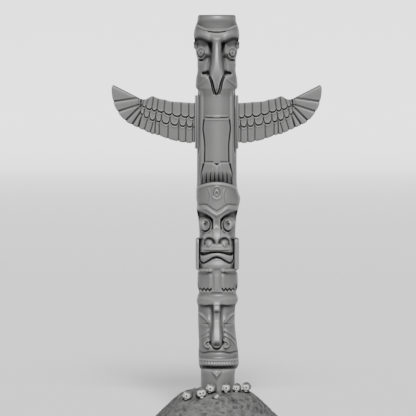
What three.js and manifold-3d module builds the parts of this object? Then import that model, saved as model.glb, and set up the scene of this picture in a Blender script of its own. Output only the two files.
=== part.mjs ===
// A carved totem pole: a bird with spread wings above a snub-nosed beast above a long-nosed man.
// One cedar log carries all three figures. Two carved boards are the bird's wings, each held on the
// log's flank by an upright cleat. The log's foot is bedded in a low stone mound, and seven small
// stone skulls lie round it.
// Millimetres, +Z up. The bird's beak points along -Y, and its wings spread along X.
// The origin is on the ground, at the middle of the mound's flat underside.
import * as THREE from "three";
import { mergeVertices } from "three/addons/utils/BufferGeometryUtils.js";
import Module from "manifold-3d";

// Driving sizes of the log
const POLE_HEIGHT = 6668;
const FOOT_BEDDED = 70;
const BEDDING_GAP = 0.4;

// Driving sizes of the mound
const MOUND_RADIUS = 1155;
const MOUND_HEIGHT = 578;
const MOUND_RIM = 40;
const MOUND_ROUGHNESS = 9;

// Driving sizes of the wings
const WING_LENGTH = 1495;
const WING_BOARD = 34;
const LOWER_FEATHER_RISE = 12;
const MIDDLE_FEATHER_RISE = 24;
const UPPER_FEATHER_RISE = 36;
const FEATHER_GROOVE = 10;

// Driving sizes of the cleats that hold the wings
const CLEAT_HEIGHT = 940;
const CLEAT_THICKNESS = 64;
const CLEAT_WIDTH = 190;
const CLEAT_LET_IN = 24;
const JOINT_GAP = 0.4;

// Driving size of the skulls
const SKULL_HEIGHT = 200;

// The carver's module. The log is 381 modules tall, and the figures are laid out in modules: x across
// from the log's middle, side for the same place on either half, and d down from the figure's crown.
const LOG_MODULES = 381;
const MODULE = POLE_HEIGHT / LOG_MODULES;
const LOG_RADIUS = 19.6;
const LOG_BACK = 18.8;
const BEAST_CROWN = 168;
const MAN_CROWN = 277;

const wasm = await Module();
wasm.setup();

// Plain number helpers
const clamp01 = (t) => Math.min(1, Math.max(0, t));
const mix = (a, b, t) => a + (b - a) * t;
const smooth = (a, b, x) => {
  const t = clamp01((x - a) / (b - a));
  return t * t * (3 - 2 * t);
};
const bell = (x, width) => Math.exp(-((x / width) ** 2));
const between = (a, b, soft, x) => smooth(a - soft, a + soft, x) * (1 - smooth(b - soft, b + soft, x));
const dome = (r) => Math.sqrt(Math.max(0, 1 - r * r));

// A smooth curve through a few [place, value] pairs
function curve(pairs, x) {
  const last = pairs.length - 1;
  if (x <= pairs[0][0]) return pairs[0][1];
  if (x >= pairs[last][0]) return pairs[last][1];
  let i = 0;
  while (x > pairs[i + 1][0]) i += 1;
  const slope = (j) => {
    const before = pairs[Math.max(0, j - 1)];
    const after = pairs[Math.min(last, j + 1)];
    return (after[1] - before[1]) / (after[0] - before[0]);
  };
  const [x0, y0] = pairs[i];
  const [x1, y1] = pairs[i + 1];
  const t = (x - x0) / (x1 - x0);
  const [step, rise] = [x1 - x0, y1 - y0];
  const bend = (1 - t) * (slope(i) * step - rise) - t * (slope(i + 1) * step - rise);
  return mix(y0, y1, t) + t * (1 - t) * bend;
}

// The log's outline seen from the front: half its width, down from the crown
const LOG_OUTLINE = [
  [0, 17.9], [1.2, 19], [6, 19.6], [9, 20.5], [13, 22], [18, 22.9], [22, 22.9], [25, 22.5], [28, 21.7],
  [34, 21.3], [37, 21], [41, 20.2], [44, 19.4], [50, 19.5], [55, 19.2], [60, 19.7], [64, 20.2],
  [68, 20.5], [72, 20.7], [73.8, 20.2], [74.9, 19.2], [76.2, 18.8], [79, 19], [84, 19.6], [100, 20],
  [166, 20.1], [171, 20.4], [177, 21.1], [183, 22.1], [187, 21.8], [190, 21.3], [196, 20.8], [202, 19.6],
  [212, 18.5], [221, 18.2], [223, 18.4], [224.4, 21.5], [227, 21.9], [253, 21.9], [255.4, 21.5],
  [256.8, 19.2], [258.5, 20], [272, 20.4], [276, 19.4], [279, 18.8], [282, 20], [285.5, 20.9],
  [289, 20.4], [292, 19], [300, 18.7], [312, 18.6], [322, 18.9], [330, 19.3], [338, 20], [351, 20.2],
  [354.5, 19], [357.5, 17.4], [381, 17.2],
];
// The same of the log's back, which is left round and plain
const BACK_OUTLINE = [[0, 17.9], [6, 19.4], [20, 20], [166, 19.8], [340, 18.8], [357.5, 17.4], [381, 17.2]];
// How far the log's own middle lies to the right of the figures
const LOG_OFFSET = [
  [0, 0.1], [20, -0.1], [80, 0], [110, 0.25], [168, 0.2], [176, 0.4], [183, 1.5], [189, 1.6], [196, 0.7],
  [215, 0.7], [225, 0.7], [255, 0.7], [262, 1], [285, 0.8], [292, 0.1], [308, -0.2], [322, 0.6],
  [330, 1.4], [340, 1.7], [350, 2.2], [354, 2], [358, 1.3], [381, 1.2],
];

// The bird: crown, brow, round eyes, hooked beak, chest panel and tail
const BIRD_BROW = [[0, 26.5], [5, 26.6], [8.4, 25.3], [11.7, 23.6], [15.6, 22], [20.6, 21.8], [23, 22.4]];
const BEAK_FLAT = [
  [22, 3], [28, 1], [33, 0.8], [48, 1.6], [56, 3], [59, 4], [62, 4.9], [67.6, 2.9], [74.8, 1.4], [78.4, 0.1],
];
const BEAK_FOOT = [
  [22, 7], [28, 5.6], [33, 5.6], [42, 6.4], [53, 7.6], [59, 8.2], [62, 6.4], [66, 4.4], [74.8, 2],
  [78.4, 0.6],
];
const BEAK_RISE = [
  [20, 1], [24, 2.6], [28, 5], [33, 7], [40, 9], [50, 10.8], [60, 11.2], [68, 9.8], [74, 7], [78.4, 3.4],
];
const BEAK_TIP = 78.4;
const PANEL_WIDTH = [[104, 12.2], [114, 13.3], [122, 12.4], [131, 11.6], [147, 11.8]];
const TAIL_WIDTH = [[147, 11.9], [153, 13.4], [160, 15], [170, 15.6]];
function bird(x, d) {
  const side = Math.abs(x);
  // the crown curves in to the band of the brow, which has a lip and a short groove
  const band = 16.2 - 4.4 * (side / 17.5) ** 2;
  const brow = curve(BIRD_BROW, side);
  const under = smooth(-0.4, 0.8, d - brow) * smooth(3.2, 5.4, side);
  let front = 1.1 * bell(d - 4, 3) - 1.9 * smooth(5, 15, d) * (1 - smooth(band - 1.8, band + 0.4, d));
  front += 1.6 * smooth(band - 1.6, band + 0.3, d) * (1 - smooth(24, 34, d));
  front += 0.9 * bell(d - band - 0.2, 0.8);
  front -= 1.5 * bell(d - 17.7 + 0.012 * side * side, 0.6) * (1 - smooth(8, 11, side));
  front += 1.3 * bell(d - brow + 2.8, 2.8) * (1 - under);
  // the eye sockets are cut in deep under the brow, and slope out again to the round eyes
  const socket = smooth(3.2, 6.4, side) * (1 - smooth(44, 54, d));
  front -= socket * 7 * smooth(-0.3, 1.8, d - brow) * (1 - 0.85 * smooth(5, 17, d - brow));
  const ball = Math.hypot((side - 12.4) / 7.6, (d - 37.4) / 6.4);
  front += 5.6 * Math.max(0, 1 - ball * ball) ** 1.3;
  const iris = Math.hypot(side - 15.9, (d - 38.3) * 0.8);
  front += 1.3 * (1 - smooth(3.6, 4.3, iris)) - 1.7 * bell(iris - 2.5, 0.55) - 1.1 * bell(iris, 0.6);
  // the cheeks, the corners of the mouth and the tufts under them
  front -= 2.4 * bell(d - 45.8, 1.1) * between(13, 18, 1.5, side);
  front -= 1.8 * between(44, 57, 3, d) * bell(side - 8.6, 2.6);
  const corner = d - 58.6 - 0.045 * (side - 12) ** 2;
  front -= 5 * bell(corner, 1.6) * between(8, 14.4, 1.6, side);
  const tuft = d - 64.6 - (side - 11.3) * 0.78;
  const fold = x > 0 ? 1.1 : 0.2;
  const onTuft = smooth(59, 62, d) * smooth(8, 11, side);
  front += onTuft * (0.9 * (1 - smooth(0, 2.4, tuft)) + fold * bell(tuft, 1.1));
  // the beak hangs before the chest and hooks in to a point, with a double groove round its edge
  const [flat, foot] = [curve(BEAK_FLAT, d), curve(BEAK_FOOT, d)];
  const beak = 1 - smooth(0, 1, (side - flat) / (foot - flat));
  if (d < BEAK_TIP) front += curve(BEAK_RISE, d) * beak * smooth(17, 25, d);
  const past = side - flat;
  front -= between(62, 79.4, 1.2, d) * (1.9 * bell(past - 1, 0.55) + 1.7 * bell(past - 2.7, 0.55));
  // the chest between two shoulders, the panel and the tail feathers
  front -= 2.2 * smooth(72, 82, d) * (1 - smooth(12.6, 16, side));
  const panel = curve(PANEL_WIDTH, d);
  const onPanel = 1 - smooth(-0.7, 0.1, side - panel);
  const lift = 0.9 * bell(d - 102 + 0.006 * side * side, 0.7) + 1.9 * smooth(103.2, 104, d);
  front += onPanel * lift * (1 - smooth(147, 148, d));
  front -= 2.2 * between(105, 148, 1, d) * bell(side - panel - 0.5, 0.6);
  const tail = curve(TAIL_WIDTH, d);
  const onTail = smooth(147.2, 148.2, d) * (1 - smooth(-0.6, 0.3, side - tail));
  front += onTail * (2.8 - 6 * smooth(153, 166, d));
  front -= 2 * smooth(148, 150, d) * bell(side - tail - 0.7, 0.7);
  const quill = Math.cos((2 * Math.PI * side) / (tail * 0.272));
  front -= onTail * 2.2 * smooth(153, 162, d) * Math.max(0, -quill) ** 2;
  const notch = Math.max(side * 0.72 + (d - 150), (149 - d) * 1.2);
  front -= 3.4 * (1 - smooth(-0.3, 0.9, notch)) * smooth(147.4, 148, d);
  // small ears on the temples
  const ear = 1.5 * between(27, 34, 1, d) * smooth(19.2, 19.5, side);
  return [front, ear + 0.5 * between(60, 73, 3, d) * smooth(18, 18.4, side)];
}

// The beast: domed brow, ringed eyes, snub snout, frowning mouth, arms and clawed feet
const BEAST_BROW = [[0, 35.6], [4, 35.4], [6.4, 33.2], [12.5, 29.8], [19.3, 27], [23, 26.6]];
const BEAST_RIDGE = [[0, 30.7], [4, 28.6], [9, 25.2], [12, 24.1], [16, 24.4], [20, 25]];
const SNOUT_RISE = [
  [30, 0], [36, -0.3], [41, -1.4], [44.5, -0.6], [48, 2.4], [53, 4.6], [59, 5.4], [63, 4.4], [66, 5.2],
  [68, 4.4],
];
const SNOUT_WIDTH = [
  [28, 4.6], [40, 3.7], [45, 4.2], [48, 9.6], [51, 11.8], [57, 13], [62, 13.8], [65, 15.2], [68, 16.2],
];
const MOUTH_TOP = [[0, 68.6], [5, 68.8], [8, 69.1], [13, 69.6], [17, 70.2]];
const LIP_TOP = [[0, 69.6], [4, 70], [8, 71.2], [12, 72.6], [15, 73], [17, 72]];
const LIP_LOW = [[0, 73.5], [4, 74.6], [8, 77], [12, 79.4], [14.6, 79.4], [16.2, 77.6], [17.2, 74.4]];
function beast(x, d) {
  const side = Math.abs(x);
  const brow = curve(BEAST_BROW, side);
  const under = smooth(-0.6, 1, d - brow) * smooth(3, 4.6, side);
  const top = curve(MOUTH_TOP, side);
  const lip = curve(LIP_TOP, side);
  const low = curve(LIP_LOW, side);
  const over = 1 - smooth(-0.7, 0.2, d - top);
  let front = 2.4 * (1 - under) * over;
  const ridge = curve(BEAST_RIDGE, side);
  front += 1.5 * bell(d - ridge - 1.4, 2.2) - 1.1 * bell(d - ridge + 2.4, 0.8);
  // the rim of the crest, and the nested ovals of the forehead
  front += 0.9 * bell(d - 1.2 - 3.2 * (side / 16) ** 2, 1.2);
  const ring = Math.hypot(x, (d - 10.4) * (d < 10.4 ? 0.7 : 0.9));
  front += 0.5 * bell(ring - 4.6, 0.7) + 0.8 * bell(ring - 2.1, 0.7) - 0.5 * bell(ring, 0.8);
  // the sockets and the ringed eyes
  const socket = 5.6 * smooth(-0.4, 2, d - brow) * (1 - 0.7 * smooth(4, 15, d - brow));
  front -= socket * under * (1 - smooth(46, 56, d));
  const eye = Math.hypot((side - 11.6) / 4.9, (d - 42) / 6);
  front += 3.4 * dome(Math.hypot((side - 11.6) / 7.4, (d - 42) / 8.4));
  front += 1.2 * (1 - smooth(0.9, 1.04, eye)) + 0.9 * bell(eye - 0.82, 0.13) - 1.8 * bell(eye, 0.42);
  front -= 1.3 * bell(eye - 1.1, 0.12) * clamp01(0.4 + (d - 42) / 8 + (11.6 - side) / 12);
  // the snout and the upper lip, with two arched nostrils
  const wide = curve(SNOUT_WIDTH, d);
  const flesh = curve(SNOUT_RISE, d) + 2.4 * smooth(3, 4.6, side);
  front += flesh * smooth(30, 36, d) * over * (1 - smooth(-3, 1, side - wide));
  const nostril = Math.hypot(side - 7.7, d - 60.6);
  const arch = 1 - smooth(58.5, 63.5, d - 0.25 * Math.max(0, side - 7.7));
  front -= 4.2 * bell(nostril - 4.3, 1.4) * arch;
  front += 1.6 * bell(nostril - 0.5, 2) - 1.6 * bell(Math.hypot(side - 13.6, d - 63.2), 1.6);
  front += 1.3 * bell(d - 66, 1.6) * (1 - smooth(11, 15, side));
  // the frowning mouth
  const opening = smooth(-0.3, 0.3, d - top) * (1 - smooth(-0.4, 0.4, d - lip));
  front -= (0.6 + 0.16 * side) * opening * (1 - smooth(15.4, 16.2, side));
  const plump = dome(clamp01(Math.abs(d - (lip + low) / 2) / Math.max(0.8, (low - lip) / 2)));
  const onLip = smooth(-0.4, 0.4, d - lip) * (1 - smooth(-0.5, 0.5, d - low)) * (1 - smooth(16, 16.8, side));
  front += 4.4 * onLip * (0.5 + 0.5 * plump);
  front -= 2.2 * bell(d - low - 0.9, 1) * (1 - smooth(16.4, 17.2, side));
  front -= 2.2 * bell(side - 17, 0.6) * between(70, 77.4, 1, d);
  front += 1.3 * between(80, 86, 2, d) * (1 - smooth(10, 17, side));
  // the forearms and hands come in under the chin, and the claws hang over the next head
  front += 2.2 * smooth(85.8, 87.2, d) * (1 - smooth(88, 92, d)) * smooth(8, 9.4, side);
  front += 3.4 * bell(Math.hypot((side - 7.2) / 3, (d - 88.2) / 1.8), 0.9);
  front += between(92, 107, 2, d) * (0.6 * bell(side - 6.8, 1.8) - 0.6 * bell(side - 3.6, 1.2) + 0.3);
  const zigzag = Math.abs(((side / 3.6) % 1) - 0.5) * 4 - 1;
  front -= 3 * bell(d - 106.9 - 1.4 * zigzag, 0.7) * between(5, 18, 0.5, side);
  front -= 3 * bell(Math.hypot(side - 19.6, (d - 106.6) * 0.8), 1.8);
  // the arms stand as bars against the flanks, behind a groove
  const armRows = between(56.6, 87.4, 0.5, d);
  front -= armRows * 2.6 * smooth(12.6, 17, side);
  const bar = 0.4 + 1.6 * dome(Math.min(1, Math.abs(side - 20) / 2.2));
  return [mix(front, bar, armRows * smooth(17.4, 18.1, side)), 0];
}

// The man: flat brow, long straight nose, closed eyes, wide mouth and plain neck
const NOSE_RISE = [
  [9, 0.6], [13, 2.8], [17, 2.4], [22, 1.6], [28, 1.7], [32, 3], [38, 5], [46, 6.8], [50, 7], [54, 5.4],
];
const NOSE_WIDTH = [[9, 3], [14, 2.4], [23, 2.3], [30, 2.5], [38, 2.9], [46, 3.6], [51, 4.2], [55, 4]];
const EYELID = [[7.4, 31.8], [11, 27.2], [14.5, 23.8], [18, 22]];
const CHEEK_FOLD = [[7, 38.6], [13, 41.4], [18, 47], [21, 55], [23, 66]];
const MOUTH_LINE = [[4, 60.6], [8, 61], [13, 62], [18, 61]];
function man(x, d) {
  const side = Math.abs(x);
  let front = -0.8 * (1 - smooth(2.6, 6.4, d));
  // the brow, and the flat planes under it with the closed lids
  const sag = 13 + 0.5 * bell(side - 12, 5);
  const plane = smooth(-0.6, 0.6, d - sag) * smooth(2.4, 4.4, side);
  front += 2.2 * smooth(4, 7.6, d) * (1 - plane) * (1 - smooth(48, 56, d));
  front -= 2.6 * plane * (1 - smooth(22, 36, d));
  front += 0.8 * bell(d - 9, 2.6) * (1 - smooth(3, 9, side));
  const lid = curve(EYELID, side);
  front += 1.4 * smooth(-1, 0.6, d - lid) * (1 - smooth(32, 37, d)) * smooth(6.8, 8.4, side);
  front += 2 * bell(d - lid - 0.2, 1) * between(7.4, 18.4, 0.8, side);
  front -= 1.1 * bell(d - 32.4, 0.7) * between(7.2, 14.4, 0.8, side);
  // the nose, and the hooked nostrils and round wings beside its tip
  const wide = curve(NOSE_WIDTH, d) - 0.6;
  const tip = Math.hypot(side / 6.8, (d - 48.6) / 8.4);
  const nose = 1 - smooth(0, 1, (side - wide) / (mix(3, 1.8, smooth(44, 50, d)) + 0.6));
  front += curve(NOSE_RISE, d) * smooth(9, 13, d) * nose * (1 - smooth(0.84, 1.02, tip) * smooth(48, 52, d));
  front -= 1.1 * between(15, 48, 3, d) * bell(side - wide - 4.6, 1.6);
  front -= 0.9 * bell((tip - 1.04) * 7.4, 0.9) * smooth(49.5, 52, d);
  front -= 2 * bell(Math.hypot((side - 6.4) / 1.3, d - 52.2), 1.1);
  const wing = Math.hypot(side - 8.8, d - 53);
  front += 2.2 * bell(wing - 3, 1.1) * smooth(6.6, 8.2, side) + 1.2 * bell(wing, 0.9);
  front -= 1.9 * bell(d - 50.6, 0.7) * between(7, 10, 0.6, side);
  // the cheeks, with folds that are deeper on the right
  front += 1.4 * bell(Math.hypot((side - 12.6) / 6, (d - 44) / 9), 1);
  const past = d - curve(CHEEK_FOLD, side);
  const deep = x > 0 ? 1 : 0.3;
  const ridges = bell(past, 0.9) + 0.8 * bell(past - 5, 0.9);
  const folds = 0.9 * bell(past - 2.4, 1) + 0.7 * bell(past - 7, 1);
  front += deep * (ridges - folds) * between(7.5, 22, 1, side) * (1 - smooth(60, 68, d));
  // the mouth runs round to the flanks, with a plain upper lip and a ribbed lower one
  const line = curve(MOUTH_LINE, side);
  front -= (0.9 + 0.08 * side) * bell(d - line, 0.9);
  front -= 1.1 * smooth(0, 1, d - line) * (1 - smooth(66.6, 67.8, d));
  front += 1.9 * between(67.8, 74.6, 0.5, d) + 0.8 * bell(d - 68.6, 0.7);
  front -= 4.2 * bell(d - 76.9, 1.8);
  front += 1.2 * bell((d - 85 + 1.4 * side) * 0.6, 0.6) * (1 - smooth(3.8, 4.8, side)) * smooth(78, 79.4, d);
  return [front, 0];
}

// One point of the log's skin: angle 0 faces the viewer, and positive angles turn to the right.
// Each figure tells how far it stands out to the front and on the flanks.
function logPoint(angle, down) {
  const [half, offset] = [curve(LOG_OUTLINE, down), curve(LOG_OFFSET, down)];
  const across = offset + half * Math.sin(angle);
  const crown = BEAST_CROWN - 1.2 + 3.4 * (across / 16) ** 2;
  const toBeast = smooth(-0.4, 0.8, down - crown);
  const toMan = smooth(MAN_CROWN + 0.2, MAN_CROWN + 1, down);
  const shares = [1 - toBeast, toBeast - toMan, toMan];
  const places = [0, BEAST_CROWN, MAN_CROWN];
  let front = 0;
  let flank = 0;
  [bird, beast, man].forEach((figure, i) => {
    if (shares[i] <= 0) return;
    const [f, s] = figure(across, down - places[i]);
    front += shares[i] * f;
    flank += shares[i] * s;
  });
  const facing = smooth(-0.05, 0.42, Math.cos(angle));
  const rounding = 1.4 * (1 - dome(1 - clamp01(down / 1.8)));
  const deep = (Math.cos(angle) > 0 ? LOG_RADIUS : LOG_BACK) - rounding;
  const lapped = smooth(-0.6, -0.35, Math.cos(angle));
  const plain = curve(BACK_OUTLINE, down);
  const x = offset + (plain + (half + flank - plain) * lapped) * Math.sin(angle);
  const y = -(deep * Math.cos(angle) + front * facing);
  return [x * MODULE, y * MODULE, poleTop - down * MODULE];
}

// Solids for cutting and joining
function solidOf(geometry) {
  const bare = geometry.clone();
  bare.deleteAttribute("normal");
  bare.deleteAttribute("uv");
  const merged = mergeVertices(bare, 1e-3);
  const mesh = { numProp: 3, vertProperties: merged.attributes.position.array };
  return new wasm.Manifold(new wasm.Mesh({ ...mesh, triVerts: new Uint32Array(merged.index.array) }));
}
function geometryOf(solid) {
  const { numProp, vertProperties, triVerts } = solid.getMesh();
  const geometry = new THREE.BufferGeometry();
  const places = vertProperties.filter((_, i) => i % numProp < 3);
  geometry.setAttribute("position", new THREE.BufferAttribute(new Float32Array(places), 3));
  geometry.setIndex(new THREE.BufferAttribute(new Uint32Array(triVerts), 1));
  return geometry;
}
function boxSolid(low, high) {
  const size = high.map((h, i) => h - low[i]);
  return solidOf(new THREE.BoxGeometry(...size).translate(...low.map((l, i) => l + size[i] / 2)));
}

const wood = new THREE.MeshStandardMaterial({ color: 0x9a9a98, roughness: 0.8, metalness: 0 });
const stone = new THREE.MeshStandardMaterial({ color: 0x7d7d7c, roughness: 0.92, metalness: 0 });
const paleStone = new THREE.MeshStandardMaterial({ color: 0xb4b4b2, roughness: 0.85, metalness: 0 });

const poleFoot = MOUND_HEIGHT - FOOT_BEDDED;
const poleTop = poleFoot + POLE_HEIGHT;

// The wings hang at the height of the bird's chest
const CLEAT_TOP_DOWN = 80.5;
const cleatTop = poleTop - CLEAT_TOP_DOWN * MODULE;
const cleatInner = LOG_RADIUS * MODULE - CLEAT_LET_IN;
const cleatOuter = cleatInner + CLEAT_THICKNESS;

// The log's skin is a grid of points, closer together across the front than across the back
const SKIN_COLUMNS = 104;
const SKIN_ROWS = 500;
const SKIN_FACES = 5900;
const FRONT_SHARE = 0.84;
const FRONT_REACH = 0.97;
function skinAngle(column) {
  const place = (2 * column) / SKIN_COLUMNS - 1;
  const share = Math.abs(place) / FRONT_SHARE;
  const rest = (Math.abs(place) - FRONT_SHARE) / (1 - FRONT_SHARE);
  const turn = share < 1 ? Math.asin(FRONT_REACH * share) : mix(Math.asin(FRONT_REACH), Math.PI, rest);
  return Math.sign(place) * turn;
}

// A closed surface through rings of points from the top down, with a point closing each end
function closedRings(rings, first, last) {
  const around = rings[0].length;
  const points = [...rings.flat(), first, last];
  const faces = [];
  for (let r = 0; r + 1 < rings.length; r += 1) {
    for (let k = 0; k < around; k += 1) {
      const a = r * around + k;
      const b = r * around + ((k + 1) % around);
      faces.push([a, b + around, b], [a, a + around, b + around]);
    }
  }
  const end = (rings.length - 1) * around;
  for (let k = 0; k < around; k += 1) {
    const next = (k + 1) % around;
    faces.push([rings.length * around, k, next]);
    faces.push([rings.length * around + 1, end + next, end + k]);
  }
  return { points, faces };
}

// Thins a closed mesh to a number of faces. Each step moves one point onto a neighbour, and takes the
// step that lifts the surface least off the planes of the faces it had, measured by their quadrics.
const minus = (p, q) => [p[0] - q[0], p[1] - q[1], p[2] - q[2]];
const cross = (p, q) => [p[1] * q[2] - p[2] * q[1], p[2] * q[0] - p[0] * q[2], p[0] * q[1] - p[1] * q[0]];
const dot = (p, q) => p[0] * q[0] + p[1] * q[1] + p[2] * q[2];
function thinned({ points, faces }, target, unit) {
  const SPREAD = 1e-4;
  const LEAST_TURN = 0.25;
  const LEAST_SHAPE = 0.03;
  const normalOf = (a, b, c) => cross(minus(b, a), minus(c, a));
  const quadrics = points.map(() => new Float64Array(10));
  const touching = points.map(() => new Set());
  faces.forEach((face, index) => {
    const [a, b, c] = face.map((i) => points[i]);
    const normal = normalOf(a, b, c);
    const area = Math.hypot(...normal) || 1e-12;
    const n = normal.map((v) => v / area);
    const plane = [...n, -dot(n, a)];
    face.forEach((i) => {
      touching[i].add(index);
      let k = 0;
      for (let r = 0; r < 4; r += 1) {
        for (let q = r; q < 4; q += 1, k += 1) {
          quadrics[i][k] += plane[r] * plane[q] * area * (r === q ? 1 : 2);
        }
      }
    });
  });
  const neighbours = (i) => {
    const found = new Set();
    for (const f of touching[i]) faces[f].forEach((j) => found.add(j));
    found.delete(i);
    return found;
  };
  const lift = (q, [x, y, z]) => {
    const terms = [x * x, x * y, x * z, x, y * y, y * z, y, z * z, z, 1];
    return terms.reduce((sum, term, k) => sum + term * q[k], 0);
  };

  // a heap of steps, cheapest first: [cost, from, to, age of from, age of to]
  const age = points.map(() => 0);
  const heap = [];
  const push = (step) => {
    let i = heap.push(step) - 1;
    while (i > 0 && heap[(i - 1) >> 1][0] > step[0]) {
      heap[i] = heap[(i - 1) >> 1];
      i = (i - 1) >> 1;
    }
    heap[i] = step;
  };
  const pop = () => {
    const first = heap[0];
    const step = heap.pop();
    let i = 0;
    while (heap.length > 0 && 2 * i + 1 < heap.length) {
      let child = 2 * i + 1;
      if (child + 1 < heap.length && heap[child + 1][0] < heap[child][0]) child += 1;
      if (heap[child][0] >= step[0]) break;
      heap[i] = heap[child];
      i = child;
    }
    if (heap.length > 0) heap[i] = step;
    return first;
  };
  const offer = (from, to) => {
    const long = minus(points[from], points[to]);
    const cost = lift(quadrics[from], points[to]) + lift(quadrics[to], points[to]);
    push([cost + SPREAD * dot(long, long) * unit * unit, from, to, age[from], age[to]]);
  };
  points.forEach((_, i) => neighbours(i).forEach((j) => offer(i, j)));

  // a step is left out where it would fold a face over, make a sliver or pinch the surface
  const keepsShape = (from, to) => {
    const near = neighbours(to);
    let shared = 0;
    for (const j of neighbours(from)) shared += near.has(j) ? 1 : 0;
    if (shared !== 2) return false;
    for (const f of touching[from]) {
      if (faces[f].includes(to)) continue;
      const before = normalOf(...faces[f].map((i) => points[i]));
      const corners = faces[f].map((i) => points[i === from ? to : i]);
      const after = normalOf(...corners);
      const size = Math.hypot(...after);
      const sides = corners.map((c, i) => minus(c, corners[(i + 1) % 3]));
      if (dot(before, after) < LEAST_TURN * Math.hypot(...before) * size) return false;
      if (size < LEAST_SHAPE * sides.reduce((sum, side) => sum + dot(side, side), 0)) return false;
    }
    return true;
  };
  let left = faces.length;
  while (left > target && heap.length > 1) {
    const [, from, to, fromAge, toAge] = pop();
    if (age[from] !== fromAge || age[to] !== toAge || !keepsShape(from, to)) continue;
    for (const f of [...touching[from]]) {
      if (faces[f].includes(to)) {
        faces[f].forEach((i) => touching[i].delete(f));
        faces[f] = null;
        left -= 1;
      } else {
        faces[f] = faces[f].map((i) => (i === from ? to : i));
        touching[to].add(f);
      }
    }
    touching[from].clear();
    quadrics[to].forEach((_, k) => (quadrics[to][k] += quadrics[from][k]));
    age[from] = -1;
    age[to] += 1;
    for (const j of neighbours(to)) {
      offer(to, j);
      offer(j, to);
    }
  }
  return { points, faces: faces.filter(Boolean) };
}

function meshGeometry({ points, faces }) {
  const geometry = new THREE.BufferGeometry();
  geometry.setAttribute("position", new THREE.Float32BufferAttribute(points.flat(), 3));
  geometry.setIndex(faces.flat());
  return geometry.toNonIndexed();
}
function logSkin() {
  const rings = Array.from({ length: SKIN_ROWS + 1 }, (_, row) => {
    const down = (LOG_MODULES * row) / SKIN_ROWS;
    return Array.from({ length: SKIN_COLUMNS }, (_, column) => logPoint(skinAngle(column), down));
  });
  const middle = (ring) => [0, 0, ring[0][2]];
  const skin = closedRings(rings, middle(rings[0]), middle(rings.at(-1)));
  return meshGeometry(thinned(skin, SKIN_FACES, MODULE));
}

// The log, with a flat seat on each flank for a cleat
function makeLog() {
  let log = solidOf(logSkin());
  for (const turn of [-1, 1]) {
    const near = cleatInner - JOINT_GAP;
    const reach = near + LOG_RADIUS * MODULE;
    const low = [turn > 0 ? near : -reach, -CLEAT_WIDTH / 2 - JOINT_GAP, cleatTop - CLEAT_HEIGHT - JOINT_GAP];
    const high = [turn > 0 ? reach : -near, CLEAT_WIDTH / 2 + JOINT_GAP, cleatTop + JOINT_GAP];
    log = log.subtract(boxSolid(low, high));
  }
  return log;
}

// A wing lies between an upper and a lower edge, drawn outwards from the cleat in shares of its length.
// Places on it are s, from 0 at the cleat to 1 at the tip, and t, from 0 at the upper edge to 1 at the lower.
const UPPER_EDGE = [
  [0, [0, 0]], [0.1, [0.1, -0.005]], [0.2, [0.2, -0.013]], [0.29, [0.29, -0.02]], [0.36, [0.36, -0.04]],
  [0.43, [0.43, -0.053]], [0.48, [0.475, -0.072]], [0.51, [0.505, -0.081]], [0.55, [0.535, -0.067]],
  [0.6, [0.565, -0.048]], [0.7, [0.6, -0.042]], [0.8, [0.618, -0.043]], [1, [0.64, -0.05]],
];
const LOWER_EDGE = [
  [0, [0, 0.469]], [0.1, [0.105, 0.473]], [0.2, [0.2, 0.457]], [0.3, [0.31, 0.43]], [0.43, [0.45, 0.38]],
  [0.55, [0.6, 0.327]], [0.65, [0.73, 0.268]], [0.7, [0.8, 0.23]], [0.76, [0.865, 0.17]],
  [0.82, [0.92, 0.095]], [0.88, [0.957, 0.015]], [0.94, [0.977, -0.075]], [0.98, [0.984, -0.178]],
  [1, [0.97, -0.217]],
];
const WING_TOP_DOWN = 88;
function wingPoint(s, t) {
  const at = (edge) => [0, 1].map((axis) => curve(edge.map(([place, point]) => [place, point[axis]]), s));
  const [upper, lower] = [at(UPPER_EDGE), at(LOWER_EDGE)];
  return [mix(upper[0], lower[0], t) * WING_LENGTH, mix(upper[1], lower[1], t) * WING_LENGTH];
}
// Three rows of feathers: the lines between them, where each row starts and stops, and how far it
// stands up. The lowest row fans out at the tip.
const FEATHER_ROWS = [
  {
    lines: [0, 0.1, 0.19, 0.305, 0.405, 0.455, 0.505, 0.55, 0.61, 0.66, 0.72, 0.82, 0.905, 1],
    ends: [[0, 1], [1, 1]], from: 0, round: 0.02, shares: [0, 0.5, 1], rise: LOWER_FEATHER_RISE,
  },
  {
    lines: [0, 0.021, 0.101, 0.187, 0.294, 0.39, 0.45, 0.52, 0.58, 0.64],
    ends: [[0, 0.6], [0.24, 0.59], [0.36, 0.6], [0.5, 0.64], [0.6, 0.66]], from: 0.1, round: 0.13,
    shares: [0, 0.16, 0.5, 0.84, 1], rise: MIDDLE_FEATHER_RISE,
  },
  {
    lines: [0, 0.072, 0.163, 0.267, 0.36, 0.43, 0.49, 0.56, 0.63],
    ends: [[0, 0.365], [0.2, 0.365], [0.36, 0.38], [0.48, 0.39], [0.6, 0.34]], from: 0, round: 0.05,
    shares: [0, 0.25, 0.75, 1], rise: UPPER_FEATHER_RISE,
  },
];
// A feather's outline on the wing: two straight sides and a rounded end, inset by half a groove
function featherOutline(row, index) {
  const inset = FEATHER_GROOVE / 2 / WING_LENGTH;
  const left = row.lines[index] + inset;
  const right = row.lines[index + 1] - inset;
  const end = curve(row.ends, (left + right) / 2);
  const tip = row.shares.map((share) => {
    const drop = row.round * Math.abs(2 * share - 1) ** 2.4;
    return wingPoint(mix(left, right, share), end - drop);
  });
  return [wingPoint(right, row.from), wingPoint(left, row.from), ...tip];
}
function extruded(outline, from, to) {
  const shape = new THREE.Shape(outline.map(([u, v]) => new THREE.Vector2(u, v)));
  const geometry = new THREE.ExtrudeGeometry(shape, { depth: to - from, bevelEnabled: false, steps: 1 });
  return solidOf(geometry.translate(0, 0, from));
}
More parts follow.
